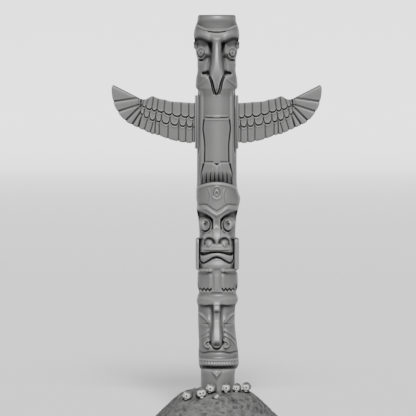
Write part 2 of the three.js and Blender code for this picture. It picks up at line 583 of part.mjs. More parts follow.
// The wing is cut from one board: a flat back, and the feathers raised on its front
function makeWing(turn) {
  const along = Array.from({ length: 13 }, (_, i) => i / 12);
  const board = [...along.map((s) => wingPoint(s, 0.985)), ...along.reverse().map((s) => wingPoint(s, 0.01))];
  let wing = extruded(board, 0, WING_BOARD);
  for (const row of FEATHER_ROWS) {
    for (let i = 0; i + 1 < row.lines.length; i += 1) {
      wing = wing.add(extruded(featherOutline(row, i), WING_BOARD / 2, WING_BOARD + row.rise));
    }
  }
  const geometry = geometryOf(wing);
  const places = geometry.attributes.position;
  const root = cleatOuter + JOINT_GAP;
  const top = poleTop - WING_TOP_DOWN * MODULE;
  for (let i = 0; i < places.count; i += 1) {
    const [u, v, w] = [places.getX(i), places.getY(i), places.getZ(i)];
    places.setXYZ(i, turn * (root + u), (WING_BOARD + UPPER_FEATHER_RISE) / 2 - w, top - v);
  }
  if (turn > 0) geometry.setIndex([...geometry.index.array].reverse());
  return geometry;
}

function makeCleat(turn) {
  const size = new THREE.BoxGeometry(CLEAT_THICKNESS, CLEAT_WIDTH, CLEAT_HEIGHT);
  return size.translate((turn * (cleatInner + cleatOuter)) / 2, 0, cleatTop - CLEAT_HEIGHT / 2);
}

// The mound: flat below, with a level top, sloping flanks and gentle lumps. Its profile gives heights over
// the rim against places out from the middle, both as shares.
const MOUND_PROFILE = [
  [0, 1], [0.3, 0.99], [0.43, 0.965], [0.52, 0.905], [0.69, 0.635], [0.883, 0.218], [1, 0],
];
function moundTop(x, y) {
  const share = Math.hypot(x, y) / MOUND_RADIUS;
  const lumps = Math.sin(x / 83 + 1.3) * Math.sin(y / 71) + 0.7 * Math.sin(x / 47) * Math.cos(y / 59 + 0.4);
  const rise = (MOUND_HEIGHT - MOUND_RIM) * curve(MOUND_PROFILE, share);
  return MOUND_RIM + rise + lumps * MOUND_ROUGHNESS * smooth(1, 0.8, share);
}
const FOOT_CORNERS = 32;
const SOCKET_CLEARANCE = 4;
function footOutline(clearance) {
  return Array.from({ length: FOOT_CORNERS }, (_, i) => {
    const angle = -Math.PI + (2 * Math.PI * i) / FOOT_CORNERS;
    const [x, y] = logPoint(angle, LOG_MODULES);
    return [x + clearance * Math.sin(angle), y - clearance * Math.cos(angle)];
  });
}
function makeMound() {
  const shares = [1, 0.92, 0.82, 0.71, 0.6, 0.48, 0.34];
  const around = Array.from({ length: FOOT_CORNERS }, (_, i) => (2 * Math.PI * i) / FOOT_CORNERS);
  const ring = (share, height) =>
    around.map((a) => {
      const [x, y] = [MOUND_RADIUS * share * Math.cos(a), MOUND_RADIUS * share * Math.sin(a)];
      return [x, y, height ?? moundTop(x, y)];
    });
  const rings = [...shares.map((s) => ring(s)).reverse(), ring(1, 0)];
  const dome = solidOf(meshGeometry(closedRings(rings, [0, 0, moundTop(0, 0)], [0, 0, 0])));
  const aboveTop = MOUND_HEIGHT + FOOT_BEDDED;
  const socket = extruded(footOutline(SOCKET_CLEARANCE), poleFoot - BEDDING_GAP, aboveTop);
  return dome.subtract(socket);
}

// Small stone skulls, each a dome with a jaw and two eye sockets, turned and tipped by hand.
// Each is placed on the mound in shares of the mound's radius: x, and its distance in front of the log's
// axis. Then come its turn, its tip and its size.
const SKULLS = [
  { x: -0.435, front: 0.45, turn: -0.6, tip: 0.35, size: 1 },
  { x: -0.239, front: 0.542, turn: 0.15, tip: -0.15, size: 1.06 },
  { x: -0.076, front: 0.443, turn: -0.6, tip: 0.35, size: 1.02 },
  { x: -0.023, front: 0.6, turn: 0.9, tip: -0.5, size: 0.6 },
  { x: 0.154, front: 0.394, turn: -0.5, tip: 0, size: 0.98 },
  { x: 0.311, front: 0.29, turn: -0.5, tip: 0.05, size: 0.85 },
  { x: 0.453, front: 0.173, turn: -0.4, tip: 0, size: 0.93 },
];
const SKULL_MIDDLE = 0.48;
const SKULL_CORNERS = 10;
function skullPoint(turnAngle, rise) {
  const level = Math.cos(rise);
  const [cx, cy, cz] = [Math.sin(turnAngle) * level, -Math.cos(turnAngle) * level, Math.sin(rise)];
  const side = Math.abs(cx);
  const socket = Math.hypot((side - 0.36) / 0.24, (cz + 0.02) / 0.22);
  const nose = Math.hypot(cx / 0.13, (cz + 0.38) / 0.16);
  const face = smooth(0.2, -0.5, cy);
  let r = 1 - 0.26 * bell(socket, 0.9) * face - 0.12 * bell(nose, 0.9) * face;
  r -= 0.16 * bell(cz + 0.6, 0.22) * (1 - face * 0.7);
  const narrow = mix(1, 0.72, smooth(-0.1, -0.9, cz));
  return [r * cx * 0.42 * narrow, r * cy * mix(0.5, 0.44, smooth(0, -0.8, cz)), r * cz * 0.5];
}
function makeSkull(skull, ground) {
  const around = Array.from({ length: SKULL_CORNERS }, (_, i) => (2 * Math.PI * i) / SKULL_CORNERS);
  const levels = [1.05, 0.6, 0.2, -0.15, -0.5, -0.9];
  const rings = levels.map((rise) => around.map((a) => skullPoint(a, rise)));
  const tall = SKULL_HEIGHT * skull.size;
  const geometry = meshGeometry(closedRings(rings, skullPoint(0, Math.PI / 2), skullPoint(0, -Math.PI / 2)));
  geometry.scale(tall, tall, tall).rotateY(skull.tip).rotateZ(skull.turn);
  const [x, y] = [skull.x * MOUND_RADIUS, -skull.front * MOUND_RADIUS];
  return solidOf(geometry.translate(x, y, moundTop(x, y) + SKULL_MIDDLE * tall)).subtract(ground);
}

const part = new THREE.Group();
function addPiece(name, geometry, material) {
  const piece = new THREE.Mesh(geometry, material);
  piece.name = name;
  part.add(piece);
}

addPiece("pole", geometryOf(makeLog()), wood);
for (const [name, turn] of [["left", -1], ["right", 1]]) {
  addPiece(`wing_cleat_${name}`, makeCleat(turn), wood);
  addPiece(`wing_${name}`, makeWing(turn), wood);
}
const mound = makeMound();
addPiece("mound", geometryOf(mound), stone);
const liftedGround = mound.translate([0, 0, JOINT_GAP]);
SKULLS.forEach((skull, i) => {
  addPiece(`skull_${i + 1}`, geometryOf(makeSkull(skull, liftedGround)), paleStone);
});

export default part;
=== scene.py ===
"""A carved cedar totem pole: a winged bird above a snub-nosed beast above a long-nosed man."""

import math

import bpy
import numpy as np
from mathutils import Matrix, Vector


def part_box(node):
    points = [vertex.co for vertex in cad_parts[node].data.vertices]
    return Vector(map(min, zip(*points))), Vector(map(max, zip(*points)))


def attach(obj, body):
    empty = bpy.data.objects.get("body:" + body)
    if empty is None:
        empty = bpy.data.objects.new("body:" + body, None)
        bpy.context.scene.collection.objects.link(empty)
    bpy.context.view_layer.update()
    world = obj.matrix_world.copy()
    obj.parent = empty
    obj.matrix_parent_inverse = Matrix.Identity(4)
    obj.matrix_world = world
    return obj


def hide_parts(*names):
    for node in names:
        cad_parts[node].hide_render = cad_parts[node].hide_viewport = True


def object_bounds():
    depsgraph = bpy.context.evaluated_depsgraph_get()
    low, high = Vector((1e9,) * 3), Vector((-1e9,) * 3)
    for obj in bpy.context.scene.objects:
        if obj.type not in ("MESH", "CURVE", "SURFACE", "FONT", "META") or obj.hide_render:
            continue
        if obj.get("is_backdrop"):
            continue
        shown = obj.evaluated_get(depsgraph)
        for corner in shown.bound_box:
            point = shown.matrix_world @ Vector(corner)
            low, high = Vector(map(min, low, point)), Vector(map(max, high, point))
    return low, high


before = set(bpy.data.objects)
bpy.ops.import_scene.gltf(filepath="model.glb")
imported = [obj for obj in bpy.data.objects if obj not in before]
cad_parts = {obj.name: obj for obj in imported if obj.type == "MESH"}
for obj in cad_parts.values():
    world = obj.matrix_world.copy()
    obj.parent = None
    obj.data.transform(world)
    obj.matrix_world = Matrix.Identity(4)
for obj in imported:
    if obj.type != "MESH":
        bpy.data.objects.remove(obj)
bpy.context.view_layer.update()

# The log
# One cedar log, carved all down its front. The adze and the knife worked from a flat layout, so each
# figure is a relief over places x across and d down, raised towards the viewer from the round log.
# Its lengths are in modules, of which the log is 381 tall.
LOG_MODULES = 381
pole_low, pole_high = (np.array(corner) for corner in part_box("pole"))
pole_foot, pole_top = pole_low[2], pole_high[2]
module = (pole_top - pole_foot) / LOG_MODULES


def smooth(a, b, x):
    """0 before a, 1 after b, and 3 t^2 - 2 t^3 between them."""
    t = np.clip((x - a) / (b - a), 0, 1)
    return t * t * (3 - 2 * t)


def between(a, b, soft, x):
    """1 from a to b, falling to 0 over twice soft at either end."""
    return smooth(a - soft, a + soft, x) * (1 - smooth(b - soft, b + soft, x))


def bell(x, width):
    """exp(-(x / width)^2)."""
    return np.exp(-((x / width) ** 2))


def dome(r):
    """The height of a unit hemisphere over radius r: sqrt(1 - r^2), and 0 outside it."""
    return np.sqrt(np.clip(1 - r * r, 0, None))


def mix(a, b, t):
    """a at t = 0, b at t = 1."""
    return a + (b - a) * t


def curve(points, x):
    """A smooth curve through (place, value) points. Its slope at a point is that between its neighbours."""
    places, values = np.array(points, float).T
    order = np.arange(len(places))
    before, after = np.maximum(order - 1, 0), np.minimum(order + 1, len(places) - 1)
    slope = (values[after] - values[before]) / (places[after] - places[before])
    x = np.clip(x, places[0], places[-1])
    i = np.clip(np.searchsorted(places, x, side="right") - 1, 0, len(places) - 2)
    step, rise = places[i + 1] - places[i], values[i + 1] - values[i]
    t = (x - places[i]) / step
    bend = (1 - t) * (slope[i] * step - rise) - t * (slope[i + 1] * step - rise)
    return values[i] + rise * t + t * (1 - t) * bend


def ring_faces(rings, around, closed=True):
    """Four-cornered faces of a grid of points, rings by around, turned outwards."""
    r, k = np.meshgrid(np.arange(rings - 1), np.arange(around if closed else around - 1), indexing="ij")
    nxt = (k + 1) % around
    corners = [r * around + k, (r + 1) * around + k, (r + 1) * around + nxt, r * around + nxt]
    return np.stack(corners, -1).reshape(-1, 4)


def make_piece(name, points, faces, material, sharp=None, **attributes):
    """A mesh object of points (n, 3) and lists of faces, smooth but for edges over sharp degrees."""
    mesh = bpy.data.meshes.new(name)
    corners = [face for part in faces for face in np.asarray(part).tolist()]
    mesh.from_pydata(points.tolist(), [], corners)
    mesh.validate()
    mesh.polygons.foreach_set("use_smooth", np.ones(len(mesh.polygons), bool))
    if sharp:
        mesh.set_sharp_from_angle(angle=math.radians(sharp))
    for label, values in attributes.items():
        layer = mesh.attributes.new(label, "FLOAT", "POINT")
        layer.data.foreach_set("value", np.asarray(values, np.float32).ravel())
    mesh.materials.append(material)
    piece = bpy.data.objects.new(name, mesh)
    bpy.context.scene.collection.objects.link(piece)
    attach(piece, "root")
    return piece


class Sum:
    """A shader socket that can be added and multiplied. Each sum or product adds a Math node."""

    def __init__(self, tree, socket):
        self.tree, self.socket = tree, socket

    def node(self, kind, settings=None, **inputs):
        """A new node of this tree, with its settings made and its inputs linked or set."""
        made = self.tree.nodes.new(kind)
        for key, value in (settings or {}).items():
            setattr(made, key, value)
        for key, value in inputs.items():
            slot = made.inputs[int(key[1:])] if key[1:].isdigit() else made.inputs[key.replace("_", " ")]
            if isinstance(value, Sum):
                self.tree.links.new(value.socket, slot)
            else:
                slot.default_value = value
        return made

    def sum(self, operation, *others):
        """The result of one Math operation on this socket and the others."""
        values = {f"i{n}": other for n, other in enumerate((self, *others))}
        return Sum(self.tree, self.node("ShaderNodeMath", {"operation": operation}, **values).outputs[0])

    def __add__(self, other):
        return self.sum("ADD", other)

    def __mul__(self, other):
        return self.sum("MULTIPLY", other)

    __radd__, __rmul__ = __add__, __mul__

    def ramp(self, low, high, start=0.0, end=1.0):
        """start below low, end above high, and even between them."""
        values = dict(Value=self, From_Min=low, From_Max=high, To_Min=start, To_Max=end)
        return Sum(self.tree, self.node("ShaderNodeMapRange", {"clamp": True}, **values).outputs[0])

    def pick(self, first, second):
        """The colour first where this is 0, second where it is 1."""
        made = self.node("ShaderNodeMix", {"data_type": "RGBA"}, Factor=self, i6=first, i7=second)
        return Sum(self.tree, made.outputs[2])


class Sheet(Sum):
    """A new material with a Principled shader, and the patterns that are drawn on object coordinates."""

    def __init__(self, name):
        self.material = bpy.data.materials.new(name)
        self.material.use_nodes = True
        tree = self.material.node_tree
        self.shader = tree.nodes["Principled BSDF"]
        super().__init__(tree, tree.nodes.new("ShaderNodeTexCoord").outputs["Object"])

    def stretched(self, x, y, z):
        """Object coordinates, scaled along each axis."""
        made = self.node("ShaderNodeVectorMath", {"operation": "MULTIPLY"}, i0=self, i1=(x, y, z))
        return Sum(self.tree, made.outputs[0])

    def clouds(self, scale, detail=4.0, stretch=(1, 1, 1), roughness=0.55):
        """Cloudy noise from 0 to 1."""
        place = self.stretched(*stretch)
        made = self.node("ShaderNodeTexNoise", Vector=place, Scale=scale, Detail=detail, Roughness=roughness)
        return Sum(self.tree, made.outputs["Fac"])

    def attribute(self, name):
        """A number that is stored on the piece's points."""
        return Sum(self.tree, self.node("ShaderNodeAttribute", {"attribute_name": name}).outputs["Fac"])

    def finish(self, colour, roughness, height, depth, shine=0.25):
        """Links colour and roughness, and a bump of that height over depth metres, and sets the shine."""
        for value, label in ((colour, "Base Color"), (roughness, "Roughness")):
            self.tree.links.new(value.socket, self.shader.inputs[label])
        bump = self.node("ShaderNodeBump", Height=height, Distance=depth, Strength=1.0)
        self.tree.links.new(bump.outputs[0], self.shader.inputs["Normal"])
        self.shader.inputs["Specular IOR Level"].default_value = shine
        return self.material


GRAIN_STRETCH = (26.0, 26.0, 1.1)
GRAIN_DEPTH = 0.0016
CEDAR_SHINE = 0.5


def cedar(name, pale, dark):
    """Weathered cedar: fine upright grain over broad patches, with painted shade in hollows and painted
    highlights on edges, set by the relief number on its points.
    """
    sheet = Sheet(name)
    grain = sheet.clouds(3.2, 5.0, GRAIN_STRETCH)
    fine = sheet.clouds(11.0, 3.0, GRAIN_STRETCH)
    patches = sheet.clouds(1.7, 3.0)
    # Painted shade and painted highlights: the relief number on the points makes the colour darker in hollows
    # and paler on edges and on faces turned up.
    painted_shading = sheet.attribute("relief")
    shade = (grain * 0.5 + fine * 0.25 + patches * 0.35).ramp(0.3, 0.8, 0.78, 1.0)
    colour = (shade * painted_shading.ramp(0, 1)).pick(dark, pale)
    roughness = (grain * 0.3 + patches * 0.2).ramp(0.1, 0.5, 0.4, 0.52)
    return sheet.finish(colour, roughness, grain * 0.6 + fine * 0.4, GRAIN_DEPTH, shine=CEDAR_SHINE)


# The log's depth from its middle to the front and to the back, and the two lower figures' crowns.
LOG_RADIUS = 19.6
LOG_BACK = 18.8
BEAST_CROWN = 168
MAN_CROWN = 277
TOP_EASE_DOWN = 1.8
TOP_EASE_IN = 1.4
LOG_COLUMNS = 150
LOG_ROWS = 650
# The front's share of the columns, and how far round it goes, as a sine.
FRONT_SHARE = 0.84
FRONT_REACH = 0.985
# Rows are spread by the relief's change from one to the next, up to a limit, and a share that is even.
ROW_CHANGE = 0.12
ROW_EVEN = 0.055
# The log's half width at places down it, before and behind, and how far its middle leans to the right.
LOG_OUTLINE = [
    (0, 17.9), (1.2, 19), (6, 19.6), (9, 20.5), (13, 22), (18, 22.9), (22, 22.9), (25, 22.5),
    (28, 21.7), (34, 21.3), (37, 21), (41, 20.2), (44, 19.4), (50, 19.5), (55, 19.2), (60, 19.7),
    (64, 20.2), (68, 20.5), (72, 20.7), (73.8, 20.2), (74.9, 19.2), (76.2, 18.8), (79, 19), (84, 19.6),
    (100, 20), (166, 20.1), (171, 20.4), (177, 21.1), (183, 22.1), (187, 21.8), (190, 21.3),
    (196, 20.8), (202, 19.6), (212, 18.5), (221, 18.2), (223, 18.4), (224.4, 21.5), (227, 21.9),
    (253, 21.9), (255.4, 21.5), (256.8, 19.2), (258.5, 20), (272, 20.4), (276, 19.4), (279, 18.8),
    (282, 20), (285.5, 20.9), (289, 20.4), (292, 19), (300, 18.7), (312, 18.6), (322, 18.9),
    (330, 19.3), (338, 20), (351, 20.2), (354.5, 19), (357.5, 17.4), (381, 17.2),
]
BACK_OUTLINE = [(0, 17.9), (6, 19.4), (20, 20), (166, 19.8), (340, 18.8), (357.5, 17.4), (381, 17.2)]
LOG_OFFSET = [
    (0, 0.1), (20, -0.1), (80, 0), (110, 0.25), (168, 0.2), (176, 0.4), (183, 1.5), (189, 1.6),
    (196, 0.7), (215, 0.7), (225, 0.7), (255, 0.7), (262, 1), (285, 0.8), (292, 0.1), (308, -0.2),
    (322, 0.6), (330, 1.4), (340, 1.7), (350, 2.2), (354, 2), (358, 1.3), (381, 1.2),
]

# The bird. The brow's line gives places down for places to the side. The other lines give half widths,
# and the beak's rise, for places down.
BIRD_BROW = [(0, 26.5), (5, 26.6), (8.4, 25.3), (11.7, 23.6), (15.6, 22), (20.6, 21.8), (23, 22.4)]
BEAK_FLAT = [
    (22, 3), (28, 1), (33, 0.8), (48, 1.6), (56, 3), (59, 4), (62, 4.9), (67.6, 2.9), (74.8, 1.4),
    (78.4, 0.1),
]
BEAK_FOOT = [
    (22, 7), (28, 5.6), (33, 5.6), (42, 6.4), (53, 7.6), (59, 8.2), (62, 6.4), (66, 4.4), (74.8, 2),
    (78.4, 0.6),
]
BEAK_RISE = [
    (20, 1), (24, 2.6), (28, 5), (33, 7), (40, 9), (50, 10.8), (60, 11.2), (68, 9.8), (74, 7), (78.4, 3.4),
]
BEAK_TIP = 78.4
PANEL_WIDTH = [(104, 12.2), (114, 13.3), (122, 12.4), (131, 11.6), (147, 11.8)]
TAIL_WIDTH = [(147, 11.9), (153, 13.4), (160, 15), (170, 15.6)]


def bird(x, d):
    """Crown, brow, round eyes, hooked beak, chest panel and tail, to the front and to the flank."""
    side = np.abs(x)
    # the crown curves in to the band of the brow, which has a lip and a short groove
    band = 16.2 - 4.4 * (side / 17.5) ** 2
    brow = curve(BIRD_BROW, side)
    under = smooth(-0.4, 0.8, d - brow) * smooth(3.2, 5.4, side)
    front = 1.1 * bell(d - 4, 3) - 1.3 * smooth(5, 15, d) * (1 - smooth(band - 1.8, band + 0.4, d))
    front += 1.6 * smooth(band - 1.6, band + 0.3, d) * (1 - smooth(24, 34, d))
    front += 0.9 * bell(d - band - 0.2, 0.8)
    front -= 1.5 * bell(d - 17.7 + 0.012 * side * side, 0.6) * (1 - smooth(8, 11, side))
    front += 1.3 * bell(d - brow + 2.8, 2.8) * (1 - under)
    front += 1.1 * bell(np.hypot(side / 4.5, (d - 23.4) / 2.6), 1)
    # the eye sockets are cut in deep under the brow, and slope out again to the round eyes
    socket = smooth(3.2, 6.4, side) * (1 - smooth(44, 54, d))
    front -= socket * 9.2 * smooth(-0.6, 3.6, d - brow) * (1 - 0.88 * smooth(7, 15.5, d - brow))
    ball = np.hypot((side - 12.4) / 7.6, (d - 37.4) / 6.4)
    front += 5.6 * np.clip(1 - ball * ball, 0, None) ** 1.3
    iris = np.hypot((side - 15.7) * 0.78, (d - 38.2) * 0.62)
    front += 1.3 * (1 - smooth(3.6, 4.3, iris)) + 0.7 * bell(iris - 3.5, 0.5)
    front += 0.6 * bell(iris - 1.5, 0.5) - 2.5 * bell(iris - 2.5, 0.55) - 1.8 * bell(iris, 0.6)
    # the cheeks, the corners of the mouth and the tufts under them
    front -= 3.8 * bell(np.hypot((side - 15.3) / 1.9, d - 45.5), 1.1)
    valley = side - mix(6.4, 8.4, smooth(42, 54, d))
    front -= 2.4 * between(27, 59, 2.5, d) * bell(valley, mix(1.5, 2.2, smooth(42, 54, d)))
    front += 3 * bell(np.hypot((side - 9.8) / 2.6, (d - 35.6) / 4.4), 1)
    corner = d - 58.6 - 0.045 * (side - 12) ** 2
    front -= 6 * bell(corner, 2.4 - 0.9 * smooth(8.5, 12, side)) * between(8, 14.4, 1.6, side)
    tuft = d - 64.6 - (side - 11.3) * 0.78
    fold = np.where(x > 0, 1, 0.25)
    lock = 0.35 * (1 - smooth(0, 2.4, tuft)) + fold * bell(tuft, 1.3)
    front += smooth(59, 62, d) * smooth(8, 11, side) * lock
    # the beak hangs before the chest, hooked to a point, with a double groove round its edge
    flat, foot = curve(BEAK_FLAT, d), curve(BEAK_FOOT, d)
    beak = 1 - smooth(0, 1, (side - flat) / (foot - flat))
    front += curve(BEAK_RISE, d) * beak * smooth(17, 25, d) * (d < BEAK_TIP)
    edge = between(62, 79.4, 1.2, d)
    front -= edge * (2.7 * bell(side - flat - 1, 0.55) + 2.5 * bell(side - flat - 2.9, 0.55))
    # the chest between two shoulders, the panel and the tail feathers
    front -= 2.2 * smooth(72, 82, d) * (1 - smooth(12.6, 16, side))
    front -= 2.6 * between(75, 139, 1, d) * bell(side - 18.2, 0.7)
    panel = curve(PANEL_WIDTH, d)
    on_panel = 1 - smooth(-0.7, 0.1, side - panel)
    rise = 1.4 * bell(d - 102 + 0.006 * side * side, 0.7) + 1.9 * smooth(103.2, 104, d)
    rise = rise + 0.9 * bell(d - 104.4, 0.6)
    front += on_panel * rise * (1 - smooth(147, 148, d))
    front -= 1.5 * between(105, 148, 1, d) * bell(side - panel - 0.5, 0.5)
    front -= 0.9 * between(3.6, 12, 0.8, side) * bell(d - 147, 0.5)
    tail = curve(TAIL_WIDTH, d)
    on_tail = smooth(147.2, 148.2, d) * (1 - smooth(-0.6, 0.3, side - tail))
    front += on_tail * (2.8 - 5 * smooth(156, 168, d))
    front -= 2 * smooth(148, 150, d) * bell(side - tail - 0.7, 0.7)
    quill = np.cos((2 * math.pi * side) / (tail * 0.272))
    front -= on_tail * 1.7 * smooth(152, 164, d) * np.clip(-quill, 0, None) ** mix(7, 2, smooth(153, 166, d))
    front += on_tail * 0.8 * between(149, 157, 2, d) * bell(side - 3.4 - 0.25 * (d - 150), 1.2)
    notch = np.maximum(side * 0.72 + (d - 150), (149 - d) * 1.2)
    front -= 3.4 * (1 - smooth(-0.3, 0.9, notch)) * smooth(147.4, 148, d)
    # small ears on the temples
    ear = 1.5 * between(27, 34, 1, d) * smooth(19.2, 19.5, side)
    return front, ear + 0.5 * between(60, 73, 3, d) * smooth(18, 18.4, side)


# The beast, in places down from its crown. The brow, the ridge and the mouth's lines are given as the
# bird's brow is, and the snout's two lines as the beak's are.
BEAST_BROW = [(0, 35.6), (4, 35.4), (6.4, 33.2), (12.5, 29.8), (19.3, 27), (23, 26.6)]
BEAST_RIDGE = [(0, 30.7), (4, 28.6), (9, 25.2), (12, 24.1), (16, 24.4), (20, 25)]
SNOUT_RISE = [
    (30, 0), (36, -0.3), (41, -1.4), (44.5, -0.6), (48, 2.4), (53, 4.6), (59, 5.4), (63, 4.4),
    (66, 5.2), (68, 4.4),
]
SNOUT_WIDTH = [
    (28, 4.6), (40, 3.7), (45, 4.2), (48, 9.6), (51, 12), (57, 14.6), (62, 16), (65, 16.6), (68, 17),
]
MOUTH_TOP = [(0, 68.6), (5, 68.8), (8, 69.1), (13, 69.6), (17, 70.2)]
LIP_TOP = [(0, 69.6), (4, 70), (8, 71.2), (12, 72.6), (15, 73), (17, 72)]
LIP_LOW = [(0, 73.5), (4, 74.6), (8, 77), (12, 79.4), (14.6, 79.4), (16.2, 77.6), (17.2, 74.4)]


def beast(x, d):
    """Domed brow, ringed eyes, snub snout, frowning mouth, arms and clawed feet."""
    side = np.abs(x)
    brow = curve(BEAST_BROW, side)
    under = smooth(-0.6, 1, d - brow) * smooth(3, 4.6, side)
    top, lip, low = curve(MOUTH_TOP, side), curve(LIP_TOP, side), curve(LIP_LOW, side)
    over = 1 - smooth(-0.7, 0.2, d - top)
    front = 2.4 * (1 - under) * over
    ridge = curve(BEAST_RIDGE, side)
    front += 1.5 * bell(d - ridge - 1.4, 2.2) - 1.1 * bell(d - ridge + 2.4, 0.8)
    # the rim of the crest, and the nested rings of the forehead
    front += 0.9 * bell(d - 1.2 - 3.2 * (side / 16) ** 2, 1.2)
    ring = np.hypot(x, (d - 10.4) * np.where(d < 10.4, 0.7, 0.9))
    front += 0.8 * bell(ring - 4.8, 0.7) + 1.1 * bell(ring - 2.1, 0.7)
    front -= 0.5 * bell(ring, 0.8) + 0.4 * bell(ring - 3.4, 0.5)
    band = side - 6.4 - 0.03 * (d - 14) ** 2
    front += (0.3 * bell(band, 0.7) - 0.25 * bell(band - 1.6, 0.6)) * between(5, 24, 2, d)
    # the sockets and the ringed eyes
    socket = smooth(-0.6, 3.2, d - brow) * (1 - 0.8 * smooth(5, 14, d - brow)) * under
    front -= 8.2 * socket * (1 - smooth(46, 56, d))
    eye = np.hypot((side - 11.6) / 4.9, (d - 42) / 6)
    front += 3.4 * dome(np.hypot((side - 11.6) / 7.4, (d - 42) / 8.4))
    inner = 1 - smooth(-2, 3, side - 11.6)
    front += 1.2 * (1 - smooth(0.9, 1.04, eye)) + (0.6 + 3.4 * inner) * bell(eye - 0.78, 0.14)
    front -= 4.8 * bell(eye, 0.34)
    front -= 2 * bell(eye - 1.1, 0.13) * np.clip(0.4 + (d - 42) / 8 + (11.6 - side) / 12, 0, 1)
    bag = bell(eye - 1.36, 0.1) - 1.2 * bell(eye - 1.56, 0.12)
    front += bag * (1 - smooth(8, 10.6, side)) * smooth(38, 41, d)
    # the snout and the upper lip, with two arched nostrils
    wide = curve(SNOUT_WIDTH, d)
    muzzle = smooth(30, 36, d) * over
    flesh = curve(SNOUT_RISE, d) + 2.4 * smooth(3, 4.6, side)
    front += flesh * muzzle * (1 - smooth(-3, 1, side - wide))
    nostril = np.hypot(side - 7.7, np.where(d < 60.6, d - 60.6, 0.3 * (d - 60.6)))
    front -= 5.4 * bell(nostril - 4.6, 1.5) * (1 - smooth(59.5, 62, d - 0.35 * np.maximum(side - 7.7, 0)))
    front += 2.8 * bell(np.hypot(side - 7.9, d - 62.4), 1.7) - 2 * bell(np.hypot(side - 13.6, d - 63.2), 1.6)
    front += 1.8 * bell(d - 66, 1.4) * (1 - smooth(11, 15, side))
    front += 1.2 * bell(np.hypot(side / 3.4, d - 64), 1.3)
    # the frowning mouth
    open_mouth = smooth(-0.3, 0.3, d - top) * (1 - smooth(-0.4, 0.4, d - lip))
    open_mouth = open_mouth * (1 - smooth(15.4, 16.2, side))
    front -= (0.5 + 0.09 * side) * open_mouth
    plump = dome(np.clip(np.abs(d - (lip + low) / 2) / np.maximum(0.8, (low - lip) / 2), 0, 1))
    on_lip = smooth(-0.4, 0.4, d - lip) * (1 - smooth(-0.5, 0.5, d - low)) * (1 - smooth(16, 16.8, side))
    front += 4.4 * on_lip * (0.5 + 0.5 * plump)
    front -= 2.2 * bell(d - low - 0.9, 1) * (1 - smooth(16.4, 17.2, side))
    front -= 2.2 * bell(side - 17, 0.6) * between(70, 77.4, 1, d)
    front += 1.3 * between(80, 86, 2, d) * (1 - smooth(10, 17, side))
    # the forearms and hands come in under the chin, and the claws hang over the next head
    front += 3.4 * smooth(85.8, 87.2, d) * (1 - smooth(88, 92, d)) * smooth(8, 9.4, side)
    front += 3.4 * bell(np.hypot((side - 7.2) / 3, (d - 88.2) / 1.8), 0.9)
    front += between(92, 107, 2, d) * (0.6 * bell(side - 6.8, 1.8) - 0.6 * bell(side - 3.6, 1.2) + 0.3)
    zigzag = np.abs((side / 3.6) % 1 - 0.5) * 4 - 1
    claws = bell(d - 107.4 - 1.1 * zigzag, 0.95)
    front -= 4 * claws * between(5, 18, 0.5, side) + 5 * bell(np.hypot(side - 19.4, (d - 106.2) * 0.6), 2)
    # the arms stand as bars against the flanks, behind a groove
    arm_rows = between(56.6, 87.4, 0.5, d)
    front -= arm_rows * 2.6 * smooth(12.6, 17, side)
    bar = 1.2 + 2 * dome(np.clip((side - 20) / 2.2, -1, 1)) + 1.3 * np.clip(side - 18.4, 0, 2.6)
    bar = bar - 0.8 * (1 - smooth(57, 60, d))
    return mix(front, bar, arm_rows * smooth(17.4, 18.1, side)), np.zeros_like(front)


# The man, in places down from the brow's top. The nose has a rise and a half width. The other lines
# give places down for places to the side.
NOSE_RISE = [
    (6, 0.2), (11, 2.4), (16, 4.8), (18, 4.8), (21, 1.6), (28, 1.3), (32, 3), (38, 5.6), (46, 8),
    (50, 8.4), (54, 5.6),
]
NOSE_WIDTH = [(9, 3), (14, 2.4), (23, 2.1), (30, 2.3), (38, 3), (46, 4), (51, 4.6), (55, 4.2)]
EYELID = [(7.4, 31.8), (11, 27.2), (14.5, 23.8), (18, 22)]
CHEEK_FOLD = [(7, 38.6), (13, 41.4), (18, 47), (21, 55), (23, 66)]
MOUTH_LINE = [(4, 60.6), (8, 61), (13, 62), (18, 61)]


